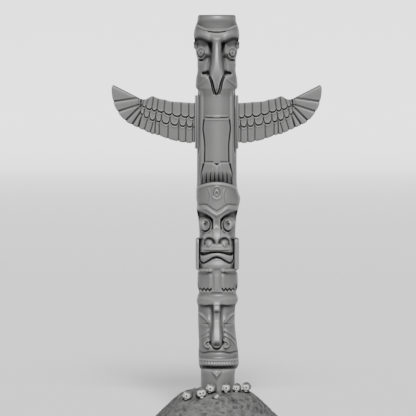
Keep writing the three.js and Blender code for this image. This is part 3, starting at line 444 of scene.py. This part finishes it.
def man(x, d):
    """Flat brow, long straight nose, closed eyes, wide mouth and plain neck."""
    side = np.abs(x)
    front = -0.8 * (1 - smooth(2.6, 6.4, d))
    # the brow, and the flat planes under it with the closed lids
    sag = 13 + 0.5 * bell(side - 12, 5)
    plane = smooth(sag - 0.6, sag + 0.6, d) * smooth(2.4, 4.4, side)
    front += 2.2 * smooth(4, 7.6, d) * (1 - plane) * (1 - smooth(48, 56, d))
    front -= 2.6 * plane * (1 - smooth(22, 36, d))
    front += 1.6 * smooth(5, 9, d) * (1 - smooth(11, 15, d)) * (1 - smooth(2, 12, side))
    lid = curve(EYELID, side)
    front += 1.4 * smooth(-1, 0.6, d - lid) * (1 - smooth(32, 37, d)) * smooth(6.8, 8.4, side)
    front += 3 * bell(d - lid - 0.2, 1.5) * between(7.4, 18.4, 0.8, side)
    front -= 1.1 * bell(d - 32.4, 0.7) * between(7.2, 14.4, 0.8, side)
    # the nose, and the hooked nostrils and round wings beside its tip
    wide = curve(NOSE_WIDTH, d)
    tip = np.hypot(side / 6.8, (d - 48.6) / 8.4)
    nose = 1 - smooth(0, 1, (side - wide + 0.6) / (mix(3, 1.8, smooth(44, 50, d)) + 0.6))
    front += curve(NOSE_RISE, d) * smooth(6, 11, d) * nose * (1 - smooth(0.84, 1.02, tip) * smooth(48, 52, d))
    front -= 1.1 * between(15, 48, 3, d) * bell(side - wide - 4, 1.6)
    front -= 0.9 * bell((tip - 1.04) * 7.4, 0.9) * smooth(49.5, 52, d)
    front -= 2 * bell(np.hypot((side - 6.4) / 1.3, d - 52.2), 1.1)
    wing = np.hypot(side - 8.8, d - 53)
    front += 3.2 * bell(wing - 3, 1.1) * smooth(6.6, 8.2, side) + 1.4 * bell(wing, 0.9)
    front -= 2.6 * bell(d - 50.6, 0.8) * between(6.4, 10, 0.6, side)
    # the cheeks, with folds that are deeper on the right
    front += 1.4 * bell(np.hypot((side - 12.6) / 6, (d - 44) / 9), 1)
    fold = curve(CHEEK_FOLD, side)
    deep = np.where(x > 0, 0.8, 0.3)
    folds = bell(d - fold, 0.9) + 0.8 * bell(d - fold - 5, 0.9)
    folds = folds - 0.9 * bell(d - fold - 2.4, 1) - 0.7 * bell(d - fold - 7, 1)
    front += deep * folds * between(7.5, 22, 1, side) * (1 - smooth(60, 68, d))
    # the mouth runs round to the flanks, with a plain upper lip and a ribbed lower one
    line = curve(MOUTH_LINE, side)
    front -= (0.9 + 0.08 * side) * bell(d - line, 0.9)
    front -= 1.1 * smooth(0, 1, d - line) * (1 - smooth(66.6, 67.8, d))
    ribs = 0.25 * np.cos((2 * math.pi * x) / 2.75)
    front += between(67.8, 74.6, 0.5, d) * (2.8 + ribs)
    front += 0.9 * bell(d - 68.6, 0.7) + 0.8 * bell(d - 72.4, 1.4)
    front -= 4.2 * bell(d - 76.9, 1.8)
    below = (d - 84 + 1.2 * side) * 0.6
    chevron = bell(below, np.where(below < 0, 0.55, 1.5))
    front += 1.8 * chevron * (1 - smooth(4.2, 5.2, side)) * smooth(78.4, 79.6, d)
    return front, np.zeros_like(front)


def log_skin(angle, down):
    """Points (x, y, z) of the log's skin in metres, and how far each stands out.

    x = offset + (half + flank) sin(angle), with the plain log's half for half + flank behind.
    y = -(radius cos(angle) + front), and z = top - down.
    """
    angle, down = np.broadcast_arrays(angle, down)
    half, offset = curve(LOG_OUTLINE, down), curve(LOG_OFFSET, down)
    across = offset + half * np.sin(angle)
    crown = BEAST_CROWN - 1.2 + 3.4 * (across / 16) ** 2
    to_beast = smooth(-0.4, 0.8, down - crown)
    to_man = smooth(MAN_CROWN + 0.2, MAN_CROWN + 1, down)
    shares = (1 - to_beast, to_beast - to_man, to_man)
    figures = (bird(across, down), beast(across, down - BEAST_CROWN), man(across, down - MAN_CROWN))
    front = sum(share * figure[0] for share, figure in zip(shares, figures))
    flank = sum(share * figure[1] for share, figure in zip(shares, figures))
    facing, lapped = smooth(-0.05, 0.42, np.cos(angle)), smooth(-0.6, -0.35, np.cos(angle))
    top_ease = TOP_EASE_IN * (1 - dome(1 - np.clip(down / TOP_EASE_DOWN, 0, 1)))
    deep = np.where(np.cos(angle) > 0, LOG_RADIUS, LOG_BACK) - top_ease
    x = offset + mix(curve(BACK_OUTLINE, down), half + flank, lapped) * np.sin(angle)
    y = -(deep * np.cos(angle) + front * facing)
    return np.stack([x * module, y * module, pole_top - down * module], -1), front * facing + flank * lapped


def log_angles():
    """Angles round the log, closer together across its front."""
    place = 2 * np.arange(LOG_COLUMNS) / LOG_COLUMNS - 1
    share = np.abs(place) / FRONT_SHARE
    edge = math.asin(FRONT_REACH)
    rest = (np.abs(place) - FRONT_SHARE) / (1 - FRONT_SHARE)
    front = np.arcsin(FRONT_REACH * np.minimum(share, 1))
    return np.sign(place) * np.where(share < 1, front, mix(edge, math.pi, rest))


def log_rows():
    """Heights down the log, closer together where the carving changes more from one height to the next."""
    fine = np.linspace(0, LOG_MODULES, 3 * LOG_ROWS + 1)
    _, relief = log_skin(np.linspace(-1.3, 1.3, 41)[None, :], fine[:, None])
    change = np.minimum(np.abs(np.diff(relief, axis=0)).mean(1), ROW_CHANGE)
    total = np.concatenate([[0], np.cumsum(change + ROW_EVEN)])
    return np.interp(np.linspace(0, total[-1], LOG_ROWS + 1), total, fine)


def blurred(values, steps):
    """Each value averaged with its four neighbours, steps times over, closed round the log."""
    for _ in range(steps):
        down = np.concatenate([values[:1], values, values[-1:]])
        values = (down[:-2] + down[2:] + np.roll(values, 1, 1) + np.roll(values, -1, 1) + 2 * values) / 6
    return values


def capped_rings(points, first, last):
    """The points and faces of a closed surface of rings (rings, around, 3) from the top down."""
    rings, around = points.shape[:2]
    ends = np.array([first, last])
    k = np.arange(around)
    top = np.stack([np.full(around, rings * around), k, (k + 1) % around], -1)
    low = (rings - 1) * around
    foot = np.stack([np.full(around, rings * around + 1), low + (k + 1) % around, low + k], -1)
    return np.concatenate([points.reshape(-1, 3), ends]), [ring_faces(rings, around), top, foot]


LOG_PALE = (0.165, 0.165, 0.163, 1)
# Near black: the colour that the painted shade reaches in the deepest hollows.
CEDAR_DARK = (0.003, 0.003, 0.003, 1)
log_cedar = cedar("Silver-grey cedar log", LOG_PALE, CEDAR_DARK)
skin, relief = log_skin(log_angles()[None, :], log_rows()[:, None])
# Painted shade and light: each place is made darker or paler by how far it stands over its surroundings, near
# and far, and paler where it faces up, as under a light from above.
fine, middle, broad = (relief - blurred(relief, steps) for steps in (4, 24, 120))
painted_top_light = np.tanh(1.2 * np.gradient(blurred(relief, 4), log_rows(), axis=0))
painted_shading = 0.36 * fine + 0.14 * middle + np.where(broad < 0, 0.08, 0.04) * broad + 0.28 * painted_top_light
points, faces = capped_rings(skin, (0, 0, pole_top), (0, 0, pole_foot))
log_piece = make_piece(
    "carved_log", points, faces, log_cedar, sharp=60,
    relief=np.concatenate([(0.5 + painted_shading).ravel(), [0.5, 0.5]]),
)
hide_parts("pole")

# The wings
# Two cedar boards, carved with three rows of overlapping feathers. The lowest row fans out at the tip.
# Each stands against its cleat. Places on it are shares of its length, outwards from the cleat and down.
# The board's two edges: places on each for shares of the way from the root to the tip.
UPPER_EDGE = [
    (0, (0, 0)), (0.1, (0.1, -0.005)), (0.2, (0.2, -0.013)), (0.29, (0.29, -0.02)), (0.36, (0.36, -0.04)),
    (0.43, (0.43, -0.053)), (0.48, (0.475, -0.072)), (0.51, (0.505, -0.081)), (0.55, (0.535, -0.067)),
    (0.6, (0.565, -0.048)), (0.7, (0.6, -0.042)), (0.8, (0.618, -0.043)), (1, (0.64, -0.05)),
]
LOWER_EDGE = [
    (0, (0, 0.469)), (0.05, (0.05, 0.476)), (0.1, (0.105, 0.473)), (0.2, (0.2, 0.457)),
    (0.3, (0.31, 0.43)), (0.36, (0.375, 0.405)), (0.43, (0.45, 0.38)), (0.48, (0.52, 0.365)),
    (0.55, (0.6, 0.327)), (0.6, (0.66, 0.3)), (0.65, (0.73, 0.268)), (0.7, (0.8, 0.23)),
    (0.76, (0.865, 0.17)), (0.82, (0.92, 0.095)), (0.88, (0.957, 0.015)), (0.94, (0.977, -0.075)),
    (0.98, (0.984, -0.178)), (1, (0.97, -0.217)),
]
# Each row's feathers lie between lines, given by their two ends. The upper two rows end below at a place
# down for each place outwards.
WING_ROOT = ((0, 0), (0, 0.47))
WING_TIP_EDGE = ((0.64, -0.05), (0.97, -0.217))
LOWER_LINES = [
    WING_ROOT, ((0.026, 0.2), (0.026, 0.47)), ((0.104, 0.2), (0.11, 0.47)), ((0.193, 0.2), (0.193, 0.46)),
    ((0.313, 0.2), (0.319, 0.43)), ((0.42, 0.2), (0.42, 0.39)), ((0.467, 0.2), (0.472, 0.37)),
    ((0.493, 0.235), (0.528, 0.35)), ((0.561, 0.202), (0.6, 0.326)), ((0.632, 0.17), (0.672, 0.3)),
    ((0.652, 0.124), (0.743, 0.257)), ((0.662, 0.056), (0.824, 0.215)), ((0.684, 0.03), (0.915, 0.102)),
    ((0.684, -0.056), (0.962, -0.016)), WING_TIP_EDGE,
]
MIDDLE_LINES = [
    WING_ROOT, ((0.02, 0.1), (0.022, 0.3)), ((0.1, 0.1), (0.103, 0.3)), ((0.184, 0.1), (0.189, 0.3)),
    ((0.291, 0.1), (0.297, 0.3)), ((0.388, 0.1), (0.4, 0.25)), ((0.456, 0.1), (0.47, 0.25)),
    ((0.53, 0.1), (0.548, 0.2)), ((0.585, 0.05), (0.61, 0.16)), ((0.628, 0.02), (0.65, 0.13)),
]
UPPER_LINES = [
    WING_ROOT, ((0.072, 0), (0.072, 0.2)), ((0.163, 0), (0.163, 0.2)), ((0.265, 0), (0.268, 0.2)),
    ((0.352, -0.04), (0.366, 0.12)), ((0.43, -0.05), (0.45, 0.1)), ((0.487, -0.08), (0.512, 0.1)),
    ((0.548, -0.05), (0.585, 0.06)), ((0.6, -0.045), (0.622, 0.03)), ((0.62, -0.045), (0.64, 0.03)),
]
MIDDLE_ENDS = [
    (0, 0.28), (0.065, 0.276), (0.14, 0.268), (0.24, 0.254), (0.345, 0.237), (0.43, 0.214), (0.5, 0.198),
    (0.57, 0.168), (0.615, 0.136), (0.65, 0.1),
]
UPPER_ENDS = [
    (0, 0.17), (0.05, 0.17), (0.12, 0.16), (0.22, 0.15), (0.33, 0.126), (0.4, 0.102), (0.48, 0.086),
    (0.55, 0.065), (0.6, 0.04), (0.64, 0.01),
]
# The rows' heights over the board, the cuts round each feather and the rounding of the edges, in metres.
FEATHER_RISES = (0.012, 0.024, 0.036)
GROOVE_WIDTH = 0.011
GROOVE_DEPTH = 0.01
SCALLOP_DEPTH = 0.021
FAN_GROOVE_DEPTH = 0.024
FAN_GROOVE_WIDTH = 0.016
FAN_START = 0.62
RIM_HEIGHT = 0.01
# How far the wing reaches out, and up over its root, in shares of its length.
WING_SPREAD = 0.984
WING_TIP_UP = 0.217
FEATHER_CROWN = 0.003
TIP_NOTCH = 0.028
EDGE_ROUNDING = 0.008
# The painted shade of the board's back, as a number on its points; the front's flat is 0.5.
BACK_SHADE = 0.45
WING_ALONG = 350
WING_ACROSS = 134


def wing_places(s, t):
    """Places on the wing in shares of its length: s from cleat to tip, t from upper to lower edge."""
    edges = []
    for edge in (UPPER_EDGE, LOWER_EDGE):
        edges.append([curve([(place, point[axis]) for place, point in edge], s) for axis in (0, 1)])
    return np.stack([mix(edges[0][axis], edges[1][axis], t) for axis in (0, 1)], -1)


def between_lines(lines, place):
    """Each place's share across its feather, its distance from the nearer line, and that past the last.

    The distance from a line is the cross product of the way from its first end and its own direction.
    """
    first = np.array([line[0] for line in lines], float)
    along = np.array([line[1] for line in lines], float) - first
    along /= np.linalg.norm(along, axis=1, keepdims=True)
    way = place[..., None, :] - first
    past = way[..., 0] * along[:, 1] - way[..., 1] * along[:, 0]
    i = np.clip((past > 0).sum(-1, keepdims=True) - 1, 0, len(lines) - 2)
    inner, outer = np.take_along_axis(past, i, -1)[..., 0], np.take_along_axis(past, i + 1, -1)[..., 0]
    share = np.clip(inner / np.maximum(inner - outer, 1e-6), 0, 1)
    return share, np.minimum(np.abs(inner), np.abs(outer)), past[..., -1]


def wing_relief(place, length):
    """How far the feathers stand up from the board, in metres, at places in shares of the wing's length."""
    out, down = place[..., 0], place[..., 1]
    share, gap, _ = between_lines(LOWER_LINES, place)
    fan = smooth(FAN_START, FAN_START + 0.04, out)
    depth, width = mix(GROOVE_DEPTH, FAN_GROOVE_DEPTH, fan), mix(GROOVE_WIDTH, FAN_GROOVE_WIDTH, fan)
    crown = FEATHER_CROWN * (2 * share - 1) ** 2
    height = FEATHER_RISES[0] - crown - depth * bell(gap * length, width)
    rows = (
        (MIDDLE_LINES, MIDDLE_ENDS, 0.075, 3.4, FEATHER_RISES[1]),
        (UPPER_LINES, UPPER_ENDS, 0.03, 2.6, FEATHER_RISES[2]),
    )
    for lines, ends, rounding, power, rise in rows:
        share, gap, past_last = between_lines(lines, place)
        end = (curve(ends, out) - rounding * np.abs(2 * share - 1) ** power - down) * length
        end = np.minimum(end, -past_last * length)
        inside = smooth(-0.004, 0.004, end)
        height = height - SCALLOP_DEPTH * bell(end + 0.011, 0.014) + RIM_HEIGHT * bell(end + 0.041, 0.012)
        crown = FEATHER_CROWN * (2 * share - 1) ** 2
        feather = rise - crown - GROOVE_DEPTH * bell(gap * length, GROOVE_WIDTH)
        height = mix(height, feather, inside)
    return height


def make_wing(name, turn, material):
    """A closed board whose front and back are grids over (s, t), joined by a rounded edge."""
    low, high = (np.array(corner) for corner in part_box(name))
    length = (high[0] - low[0]) / WING_SPREAD
    root = low[0] if turn > 0 else high[0]
    s = np.linspace(0, 1, WING_ALONG)[:, None]
    t = np.linspace(0, 1, WING_ACROSS)[None, :]
    share, _, _ = between_lines(LOWER_LINES, wing_places(s, 0 * s + 1))
    place = wing_places(s, t * (1 - TIP_NOTCH * np.abs(2 * share - 1) ** 5))
    rise = wing_relief(place, length)
    plan = place * length
    tall = np.linalg.norm(plan[:, -1] - plan[:, 0], axis=-1)[:, None]
    to_edge = np.minimum(np.minimum(s, 1 - s) * length, np.minimum(t, 1 - t) * tall)
    round_off = EDGE_ROUNDING * (1 - dome(1 - np.clip(to_edge / EDGE_ROUNDING, 0, 1)))
    front_y = low[1] + FEATHER_RISES[2] - rise + round_off
    back_y = high[1] - round_off + 0 * rise
    x, z = root + turn * plan[..., 0], high[2] - WING_TIP_UP * length - plan[..., 1]
    front, back = np.stack([x, front_y, z], -1), np.stack([x, back_y, z], -1)
    points = np.concatenate([front.reshape(-1, 3), back.reshape(-1, 3)])
    grid = ring_faces(WING_ALONG, WING_ACROSS, closed=False)
    count = WING_ALONG * WING_ACROSS
    index = np.arange(count).reshape(WING_ALONG, WING_ACROSS)
    rim = np.concatenate([index[:, 0], index[-1, 1:], index[-2::-1, -1], index[0, -2:0:-1]])
    after = np.roll(rim, -1)
    wall = np.stack([rim, after, after + count, rim + count], -1)
    faces = [grid, grid[:, ::-1] + count, wall[:, ::-1]]
    if turn < 0:
        faces = [part[:, ::-1] for part in faces]
    # Painted shade and painted highlights: the front is darker in its grooves and scallops and paler on the
    # rims, by how far each place stands over its surroundings, and the back is painted a little darker all
    # over.
    painted_shading = 60 * (rise - blurred(rise, 12)) + 30 * (rise - blurred(rise, 60))
    painted_shading = np.concatenate([0.5 + painted_shading, np.full_like(rise, BACK_SHADE)]).ravel()
    piece = make_piece(f"carved_{name}", points, faces, material, sharp=50, relief=painted_shading)
    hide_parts(name)


BOARD_PALE = (0.121, 0.121, 0.119, 1)
board_cedar = cedar("Silver-grey cedar board", BOARD_PALE, CEDAR_DARK)
make_wing("wing_left", -1, board_cedar)
make_wing("wing_right", 1, board_cedar)

# The wing cleats
# Two upright battens of cedar, let into the log's flanks, to which the wings are fixed. Each is planed
# square, with its edges eased by hand.
CLEAT_EASE = 0.007


def eased_box(low, high, ease, steps=6):
    """A box with rounded edges: a superellipse section swept up, drawn in at its two ends."""
    middle, half = (low + high) / 2, (high - low) / 2
    angles = np.linspace(0, 2 * math.pi, 96, endpoint=False)
    corner = np.stack([np.cos(angles), np.sin(angles)], -1)
    square = np.sign(corner) * np.minimum(np.abs(corner) / np.abs(corner).max(1, keepdims=True), 1)
    flat = np.clip(square * half[:2], -(half[:2] - ease), half[:2] - ease)
    out = square * half[:2] - flat
    out = out / np.maximum(np.linalg.norm(out, axis=1, keepdims=True), 1e-9) * ease
    turns = np.linspace(math.pi / 2, 0, steps)
    upper = half[2] - ease + ease * np.sin(turns)
    levels = np.concatenate([upper, -upper[::-1]])
    widths = np.concatenate([np.cos(turns), np.cos(turns[::-1])])
    rings = []
    for level, width in zip(levels, widths):
        rings.append(np.column_stack([flat + out * width, np.full(len(flat), level)]))
    return np.array(rings) + middle


CLEAT_PALE = (0.175, 0.175, 0.173, 1)
cleat_cedar = cedar("Silver-grey cedar cleat", CLEAT_PALE, CEDAR_DARK)
for side in ("left", "right"):
    low, high = (np.array(corner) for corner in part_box(f"wing_cleat_{side}"))
    rings = eased_box(low, high, CLEAT_EASE)
    middle = (low + high) / 2
    points, faces = capped_rings(rings, (*middle[:2], high[2]), (*middle[:2], low[2]))
    off = np.abs(points[:, 0] - middle[0]) / (high[0] - low[0]) * 2
    # Painted shade: the cleat is painted dark down its middle and pale towards its edges, as a groove down
    # its front would look; no groove is cut.
    painted_groove_shade = 0.15 + 0.65 * smooth(0.35, 0.9, off)
    cleat = make_piece(f"cleat_{side}", points, faces, cleat_cedar, sharp=40, relief=painted_groove_shade)
    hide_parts(f"wing_cleat_{side}")

# The mound
# Rough stone heaped round the log's foot, to hold it upright, and cut flat below. Its top is broken
# into small lumps and pits.
MOUND_HEIGHT = 0.578
MOUND_RIM = 0.04
MOUND_PROFILE = [(0, 1), (0.3, 0.99), (0.43, 0.965), (0.52, 0.905), (0.69, 0.635), (0.883, 0.218), (1, 0)]
MOUND_AROUND = 300
MOUND_RINGS = 150
SEAT_CLEARANCE = 0.004
FOOT_CLEARANCE = 0.0004
ROCK_MIDDLE = 0.011
# How strongly the broken rock's heights paint shade into the stone's colour.
ROCK_SHADE = 28
mound_low, mound_high = (np.array(corner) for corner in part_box("mound"))
mound_radius = (mound_high[0] - mound_low[0]) / 2


def noise(points, scale, seed):
    """Smooth random heights from -1 to 1, on a grid of blended corner values with cells of one scale."""
    cell = np.asarray(points) / scale
    base = np.floor(cell).astype(np.int64)
    t = cell - base
    t = t * t * (3 - 2 * t)
    total = 0
    for corner in np.ndindex(2, 2, 2):
        at = base + np.array(corner)
        key = at[..., 0] * 73856093 ^ at[..., 1] * 19349663 ^ at[..., 2] * 83492791 ^ seed * 2654435761
        key = (key ^ (key >> 13)) * 1274126177 & 0xFFFFFFFF
        value = ((key ^ (key >> 16)) & 0xFFFF) / 32767.5 - 1
        weight = np.prod(np.where(corner, t, 1 - t), axis=-1)
        total = total + value * weight
    return total


def mound_height(x, y):
    """The mound's top in metres: its profile, with lumps as in the model."""
    share = np.hypot(x, y) / mound_radius
    lumps = np.sin(x / 0.083 + 1.3) * np.sin(y / 0.071) + 0.7 * np.sin(x / 0.047) * np.cos(y / 0.059 + 0.4)
    rise = (MOUND_HEIGHT - MOUND_RIM) * curve(MOUND_PROFILE, share)
    return MOUND_RIM + rise + lumps * 0.009 * smooth(0, 0.2, 1 - share)


def broken_rock(points):
    """Heights of broken rock: three sizes of noise, the larger two creased where they pass zero."""
    coarse = 1 - 2 * np.abs(noise(points, 0.11, 3))
    middle = 1 - 2 * np.abs(noise(points, 0.05, 5))
    return 0.013 * coarse + 0.01 * middle + 0.006 * noise(points, 0.024, 7)


def make_mound(material):
    """Rings from the seat of the log out over the top, down the rim and in under the flat foot."""
    angles = np.linspace(-math.pi, math.pi, MOUND_AROUND, endpoint=False)
    foot, _ = log_skin(angles, np.full(MOUND_AROUND, float(LOG_MODULES)))
    out = np.stack([np.sin(angles), -np.cos(angles)], -1)
    seat = foot[:, :2] + SEAT_CLEARANCE * out
    rim = mound_radius * out
    shares = np.linspace(0, 1, MOUND_RINGS)[:, None, None]
    plan = mix(seat[None], rim[None], shares)
    height = mound_height(plan[..., 0], plan[..., 1])
    ground = np.concatenate([plan, height[..., None]], -1)
    edge = smooth(0, 0.04, 1 - shares[..., 0]) * smooth(0, 0.02, shares[..., 0])
    ground[..., 2] += (broken_rock(ground) - ROCK_MIDDLE) * edge
    floor = np.concatenate([seat, np.full((MOUND_AROUND, 1), pole_foot - FOOT_CLEARANCE)], -1)
    under = np.concatenate([rim, np.zeros((MOUND_AROUND, 1))], -1)
    rings = np.concatenate([floor[None], ground, under[None]])
    points, faces = capped_rings(rings, (0, 0, pole_foot - FOOT_CLEARANCE), (0, 0, 0))
    # Painted shade: the broken rock's heights make the stone darker in its pits and paler on its lumps.
    even = np.zeros((1, MOUND_AROUND))
    painted_shading = np.concatenate([even, broken_rock(ground) * ROCK_SHADE, even])
    painted_shading = np.concatenate([0.5 + painted_shading.ravel(), [0.5, 0.5]])
    return make_piece("stone_mound", points, faces, material, relief=painted_shading)


def stone(name, pale, dark, size):
    """Rough grey stone, mottled and pitted, with shade and light painted in by the number stored on its
    points as relief.
    """
    sheet = Sheet(name)
    mottled = sheet.clouds(17 * size, 6.0, roughness=0.65)
    grit = sheet.clouds(70 * size, 4.0)
    # The relief number paints shade and light into the colour: on the mound, dark pits and pale lumps; on the
    # skulls, a lit face, a shaded dome and dark holes.
    shade = mottled * 0.7 + grit * 0.35 + sheet.attribute("relief") * 0.55
    colour = shade.ramp(0.4, 1.15).pick(dark, pale)
    roughness = mottled.ramp(0.3, 0.7, 0.78, 0.95)
    return sheet.finish(colour, roughness, mottled * 0.7 + grit * 0.5, 0.006 / size)


MOUND_PALE = (0.088, 0.088, 0.087, 1)
MOUND_DARK = (0.001, 0.001, 0.001, 1)
mound_stone = stone("Rough grey stone", MOUND_PALE, MOUND_DARK, 1)
mound_piece = make_mound(mound_stone)
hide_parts("mound")

# The stone skulls
# Seven small skulls of paler stone, laid on the mound before the log. Each is a dome with brow, eye
# sockets, nose hole, cheekbones and a narrower jaw, turned and tipped by hand.
SKULL_HEIGHT = 0.2
# The height of a skull's middle over the stone, in shares of its own height.
SKULL_MIDDLE = 0.48
# Places across and in front of the log in shares of the mound's radius, turns and tips in radians.
SKULLS = [
    dict(x=-0.435, front=0.45, turn=-0.6, tip=0.35, size=1),
    dict(x=-0.239, front=0.542, turn=0.15, tip=-0.15, size=1.06),
    dict(x=-0.076, front=0.443, turn=-0.6, tip=0.35, size=1.02),
    dict(x=-0.023, front=0.6, turn=0.9, tip=-0.5, size=0.6),
    dict(x=0.154, front=0.394, turn=-0.5, tip=0, size=0.98),
    dict(x=0.311, front=0.29, turn=-0.5, tip=0.05, size=0.85),
    dict(x=0.453, front=0.173, turn=-0.4, tip=0, size=0.93),
]


def skull_skin(turn, rise):
    """Points of a skull one unit tall, over the turn from its face and the rise from its middle, with the
    light and shade painted on each: pale on the face, dark on the dome and in the holes.
    """
    cx, cy, cz = np.sin(turn) * np.cos(rise), -np.cos(turn) * np.cos(rise), np.sin(rise) + 0 * turn
    side = np.abs(cx)
    face = smooth(0, 0.7, 0.2 - cy)
    socket = np.hypot((side - 0.36) / 0.22, (cz + 0.02) / 0.2)
    nose = np.hypot(cx / 0.11, (cz + 0.36) / 0.15)
    r = 1 - 0.4 * face * (1 - smooth(0.5, 1.15, socket)) - 0.22 * face * (1 - smooth(0.5, 1.1, nose))
    r += 0.05 * face * bell(socket - 1.3, 0.25)
    r += 0.06 * bell(np.hypot((side - 0.62) / 0.2, (cz + 0.3) / 0.14), 1)
    r -= 0.12 * bell(cz + 0.62, 0.09) * face + 0.16 * bell(cz + 0.6, 0.2) * (1 - face)
    teeth = np.abs(np.sin(cx * 26))
    r -= 0.03 * face * bell(cz + 0.55, 0.08) * (1 - teeth)
    narrow = mix(1, 0.72, smooth(0.1, 0.9, -cz))
    deep = mix(0.5, 0.44, smooth(0, 0.8, -cz))
    # Painted light and shade: the face is painted pale, as if lit from the front, the back and top of the
    # dome dark, and the sockets, nose hole and gaps of the teeth darker still.
    pale = -0.1 + 1.1 * smooth(0.25, 0.75, -cy) * (1 - smooth(0.35, 0.65, cz))
    pale = pale - 6 * np.clip(0.97 - r, 0, 0.4) * face
    return np.stack([r * cx * 0.42 * narrow, r * cy * deep, r * cz * 0.5], -1), pale


def make_skull(number, skull, material):
    """A skull, tipped about its front axis, turned about its height and set on the mound."""
    turn = np.linspace(0, 2 * math.pi, 80, endpoint=False)[None, :]
    rise = np.linspace(1.45, -1.45, 48)[:, None]
    skin, pale = skull_skin(turn, rise)
    top, foot = (skull_skin(np.zeros(1), np.array([end]))[0][0] for end in (math.pi / 2, -math.pi / 2))
    points, faces = capped_rings(skin, top, foot)
    pale = np.concatenate([pale.ravel(), [pale[0].mean(), pale[-1].mean()]])
    tall = SKULL_HEIGHT * skull["size"]
    points = points * tall
    tip, spin = skull["tip"], skull["turn"]
    about_y = np.array([[math.cos(tip), 0, math.sin(tip)], [0, 1, 0], [-math.sin(tip), 0, math.cos(tip)]])
    about_z = np.array([[math.cos(spin), -math.sin(spin), 0], [math.sin(spin), math.cos(spin), 0], [0, 0, 1]])
    points = points @ about_y.T @ about_z.T
    points *= 1 + 0.03 * noise(points, 0.03, number + 11)[:, None]
    x, y = skull["x"] * mound_radius, -skull["front"] * mound_radius
    points += np.array([x, y, mound_height(x, y) + SKULL_MIDDLE * tall])
    piece = make_piece(f"stone_skull_{number}", points, faces, material, relief=pale)
    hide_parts(f"skull_{number}")


SKULL_PALE = (0.35, 0.35, 0.34, 1)
SKULL_DARK = (0.03, 0.03, 0.03, 1)
skull_stone = stone("Pale worn stone", SKULL_PALE, SKULL_DARK, 1.5)
for number, skull in enumerate(SKULLS, 1):
    make_skull(number, skull, skull_stone)

# The stage
# A pale floor, level with the ground, that curves up to a wall far behind the pole. One broad light
# shines from high in front, a little to the right, and a dim grey sky fills the shadows.
FLOOR_WIDTH = 160
FLOOR_FRONT = -160
FLOOR_BACK = 130
BACK_RADIUS = 5
WALL_TOP = 40
FLOOR_PALE = (0.75, 0.75, 0.75, 1)


def make_floor():
    """A floor strip with a quarter round up to a wall, level at z = 0."""
    turn = np.linspace(0, math.pi / 2, 24)
    y = np.concatenate([[FLOOR_FRONT], FLOOR_BACK + BACK_RADIUS * np.sin(turn), [FLOOR_BACK + BACK_RADIUS]])
    z = np.concatenate([[0], BACK_RADIUS * (1 - np.cos(turn)), [WALL_TOP]])
    points = np.array([(x, y[i], z[i]) for i in range(len(y)) for x in (-FLOOR_WIDTH, FLOOR_WIDTH)])
    mesh = bpy.data.meshes.new("floor")
    faces = [(2 * i, 2 * i + 1, 2 * i + 3, 2 * i + 2) for i in range(len(y) - 1)]
    mesh.from_pydata(points.tolist(), [], faces)
    mesh.polygons.foreach_set("use_smooth", np.ones(len(faces), bool))
    floor = bpy.data.objects.new("floor", mesh)
    sheet = Sheet("Pale floor")
    sheet.shader.inputs["Base Color"].default_value = FLOOR_PALE
    sheet.shader.inputs["Roughness"].default_value = 0.9
    mesh.materials.append(sheet.material)
    bpy.context.scene.collection.objects.link(floor)
    floor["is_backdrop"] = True


make_floor()


def add_key(place, aim, power, width):
    """A soft light from far off, as even as a large studio lamp, that shines from place towards aim."""
    lamp = bpy.data.lights.new("key", "SUN")
    lamp.energy, lamp.angle = power, width
    light = bpy.data.objects.new("key", lamp)
    light.location = place
    light.rotation_euler = (Vector(aim) - Vector(place)).to_track_quat("-Z", "Y").to_euler()
    bpy.context.scene.collection.objects.link(light)


KEY_PLACE = (1.6, -27.2, 20.9)
KEY_AIM = (0, 0, 3.8)
KEY_POWER = 9.1
KEY_WIDTH = 0.3
add_key(KEY_PLACE, KEY_AIM, KEY_POWER, KEY_WIDTH)
world = bpy.data.worlds.new("studio")
world.use_nodes = True
world.node_tree.nodes["Background"].inputs["Color"].default_value = (0.5, 0.5, 0.5, 1)
world.node_tree.nodes["Background"].inputs["Strength"].default_value = 0.1
bpy.context.scene.world = world

# The camera
# It stands far off before the pole and looks a little down on it. The pole's middle line and the ground
# fall on the photograph's own column and row, and the ground lies just under its lower edge.
PHOTO_SIZE = 416
PIXEL = 0.0175
POLE_COLUMN = 216.7
GROUND_ROW = 425
LENS = 300
SENSOR = 36
ELEVATION = math.radians(2.5)
camera = bpy.data.objects.new("camera", bpy.data.cameras.new("camera"))
camera.data.lens, camera.data.sensor_width = LENS, SENSOR
photo_middle = PHOTO_SIZE / 2
aim_x, aim_z = (photo_middle - POLE_COLUMN) * PIXEL, (GROUND_ROW - photo_middle) * PIXEL
aim = Vector((aim_x, -LOG_RADIUS * module, aim_z))
distance = PHOTO_SIZE * PIXEL * LENS / SENSOR
camera.location = aim + distance * Vector((0, -math.cos(ELEVATION), math.sin(ELEVATION)))
camera.rotation_euler = (math.pi / 2 - ELEVATION, 0, 0)
bpy.context.scene.collection.objects.link(camera)
bpy.context.scene.camera = camera

low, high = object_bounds()
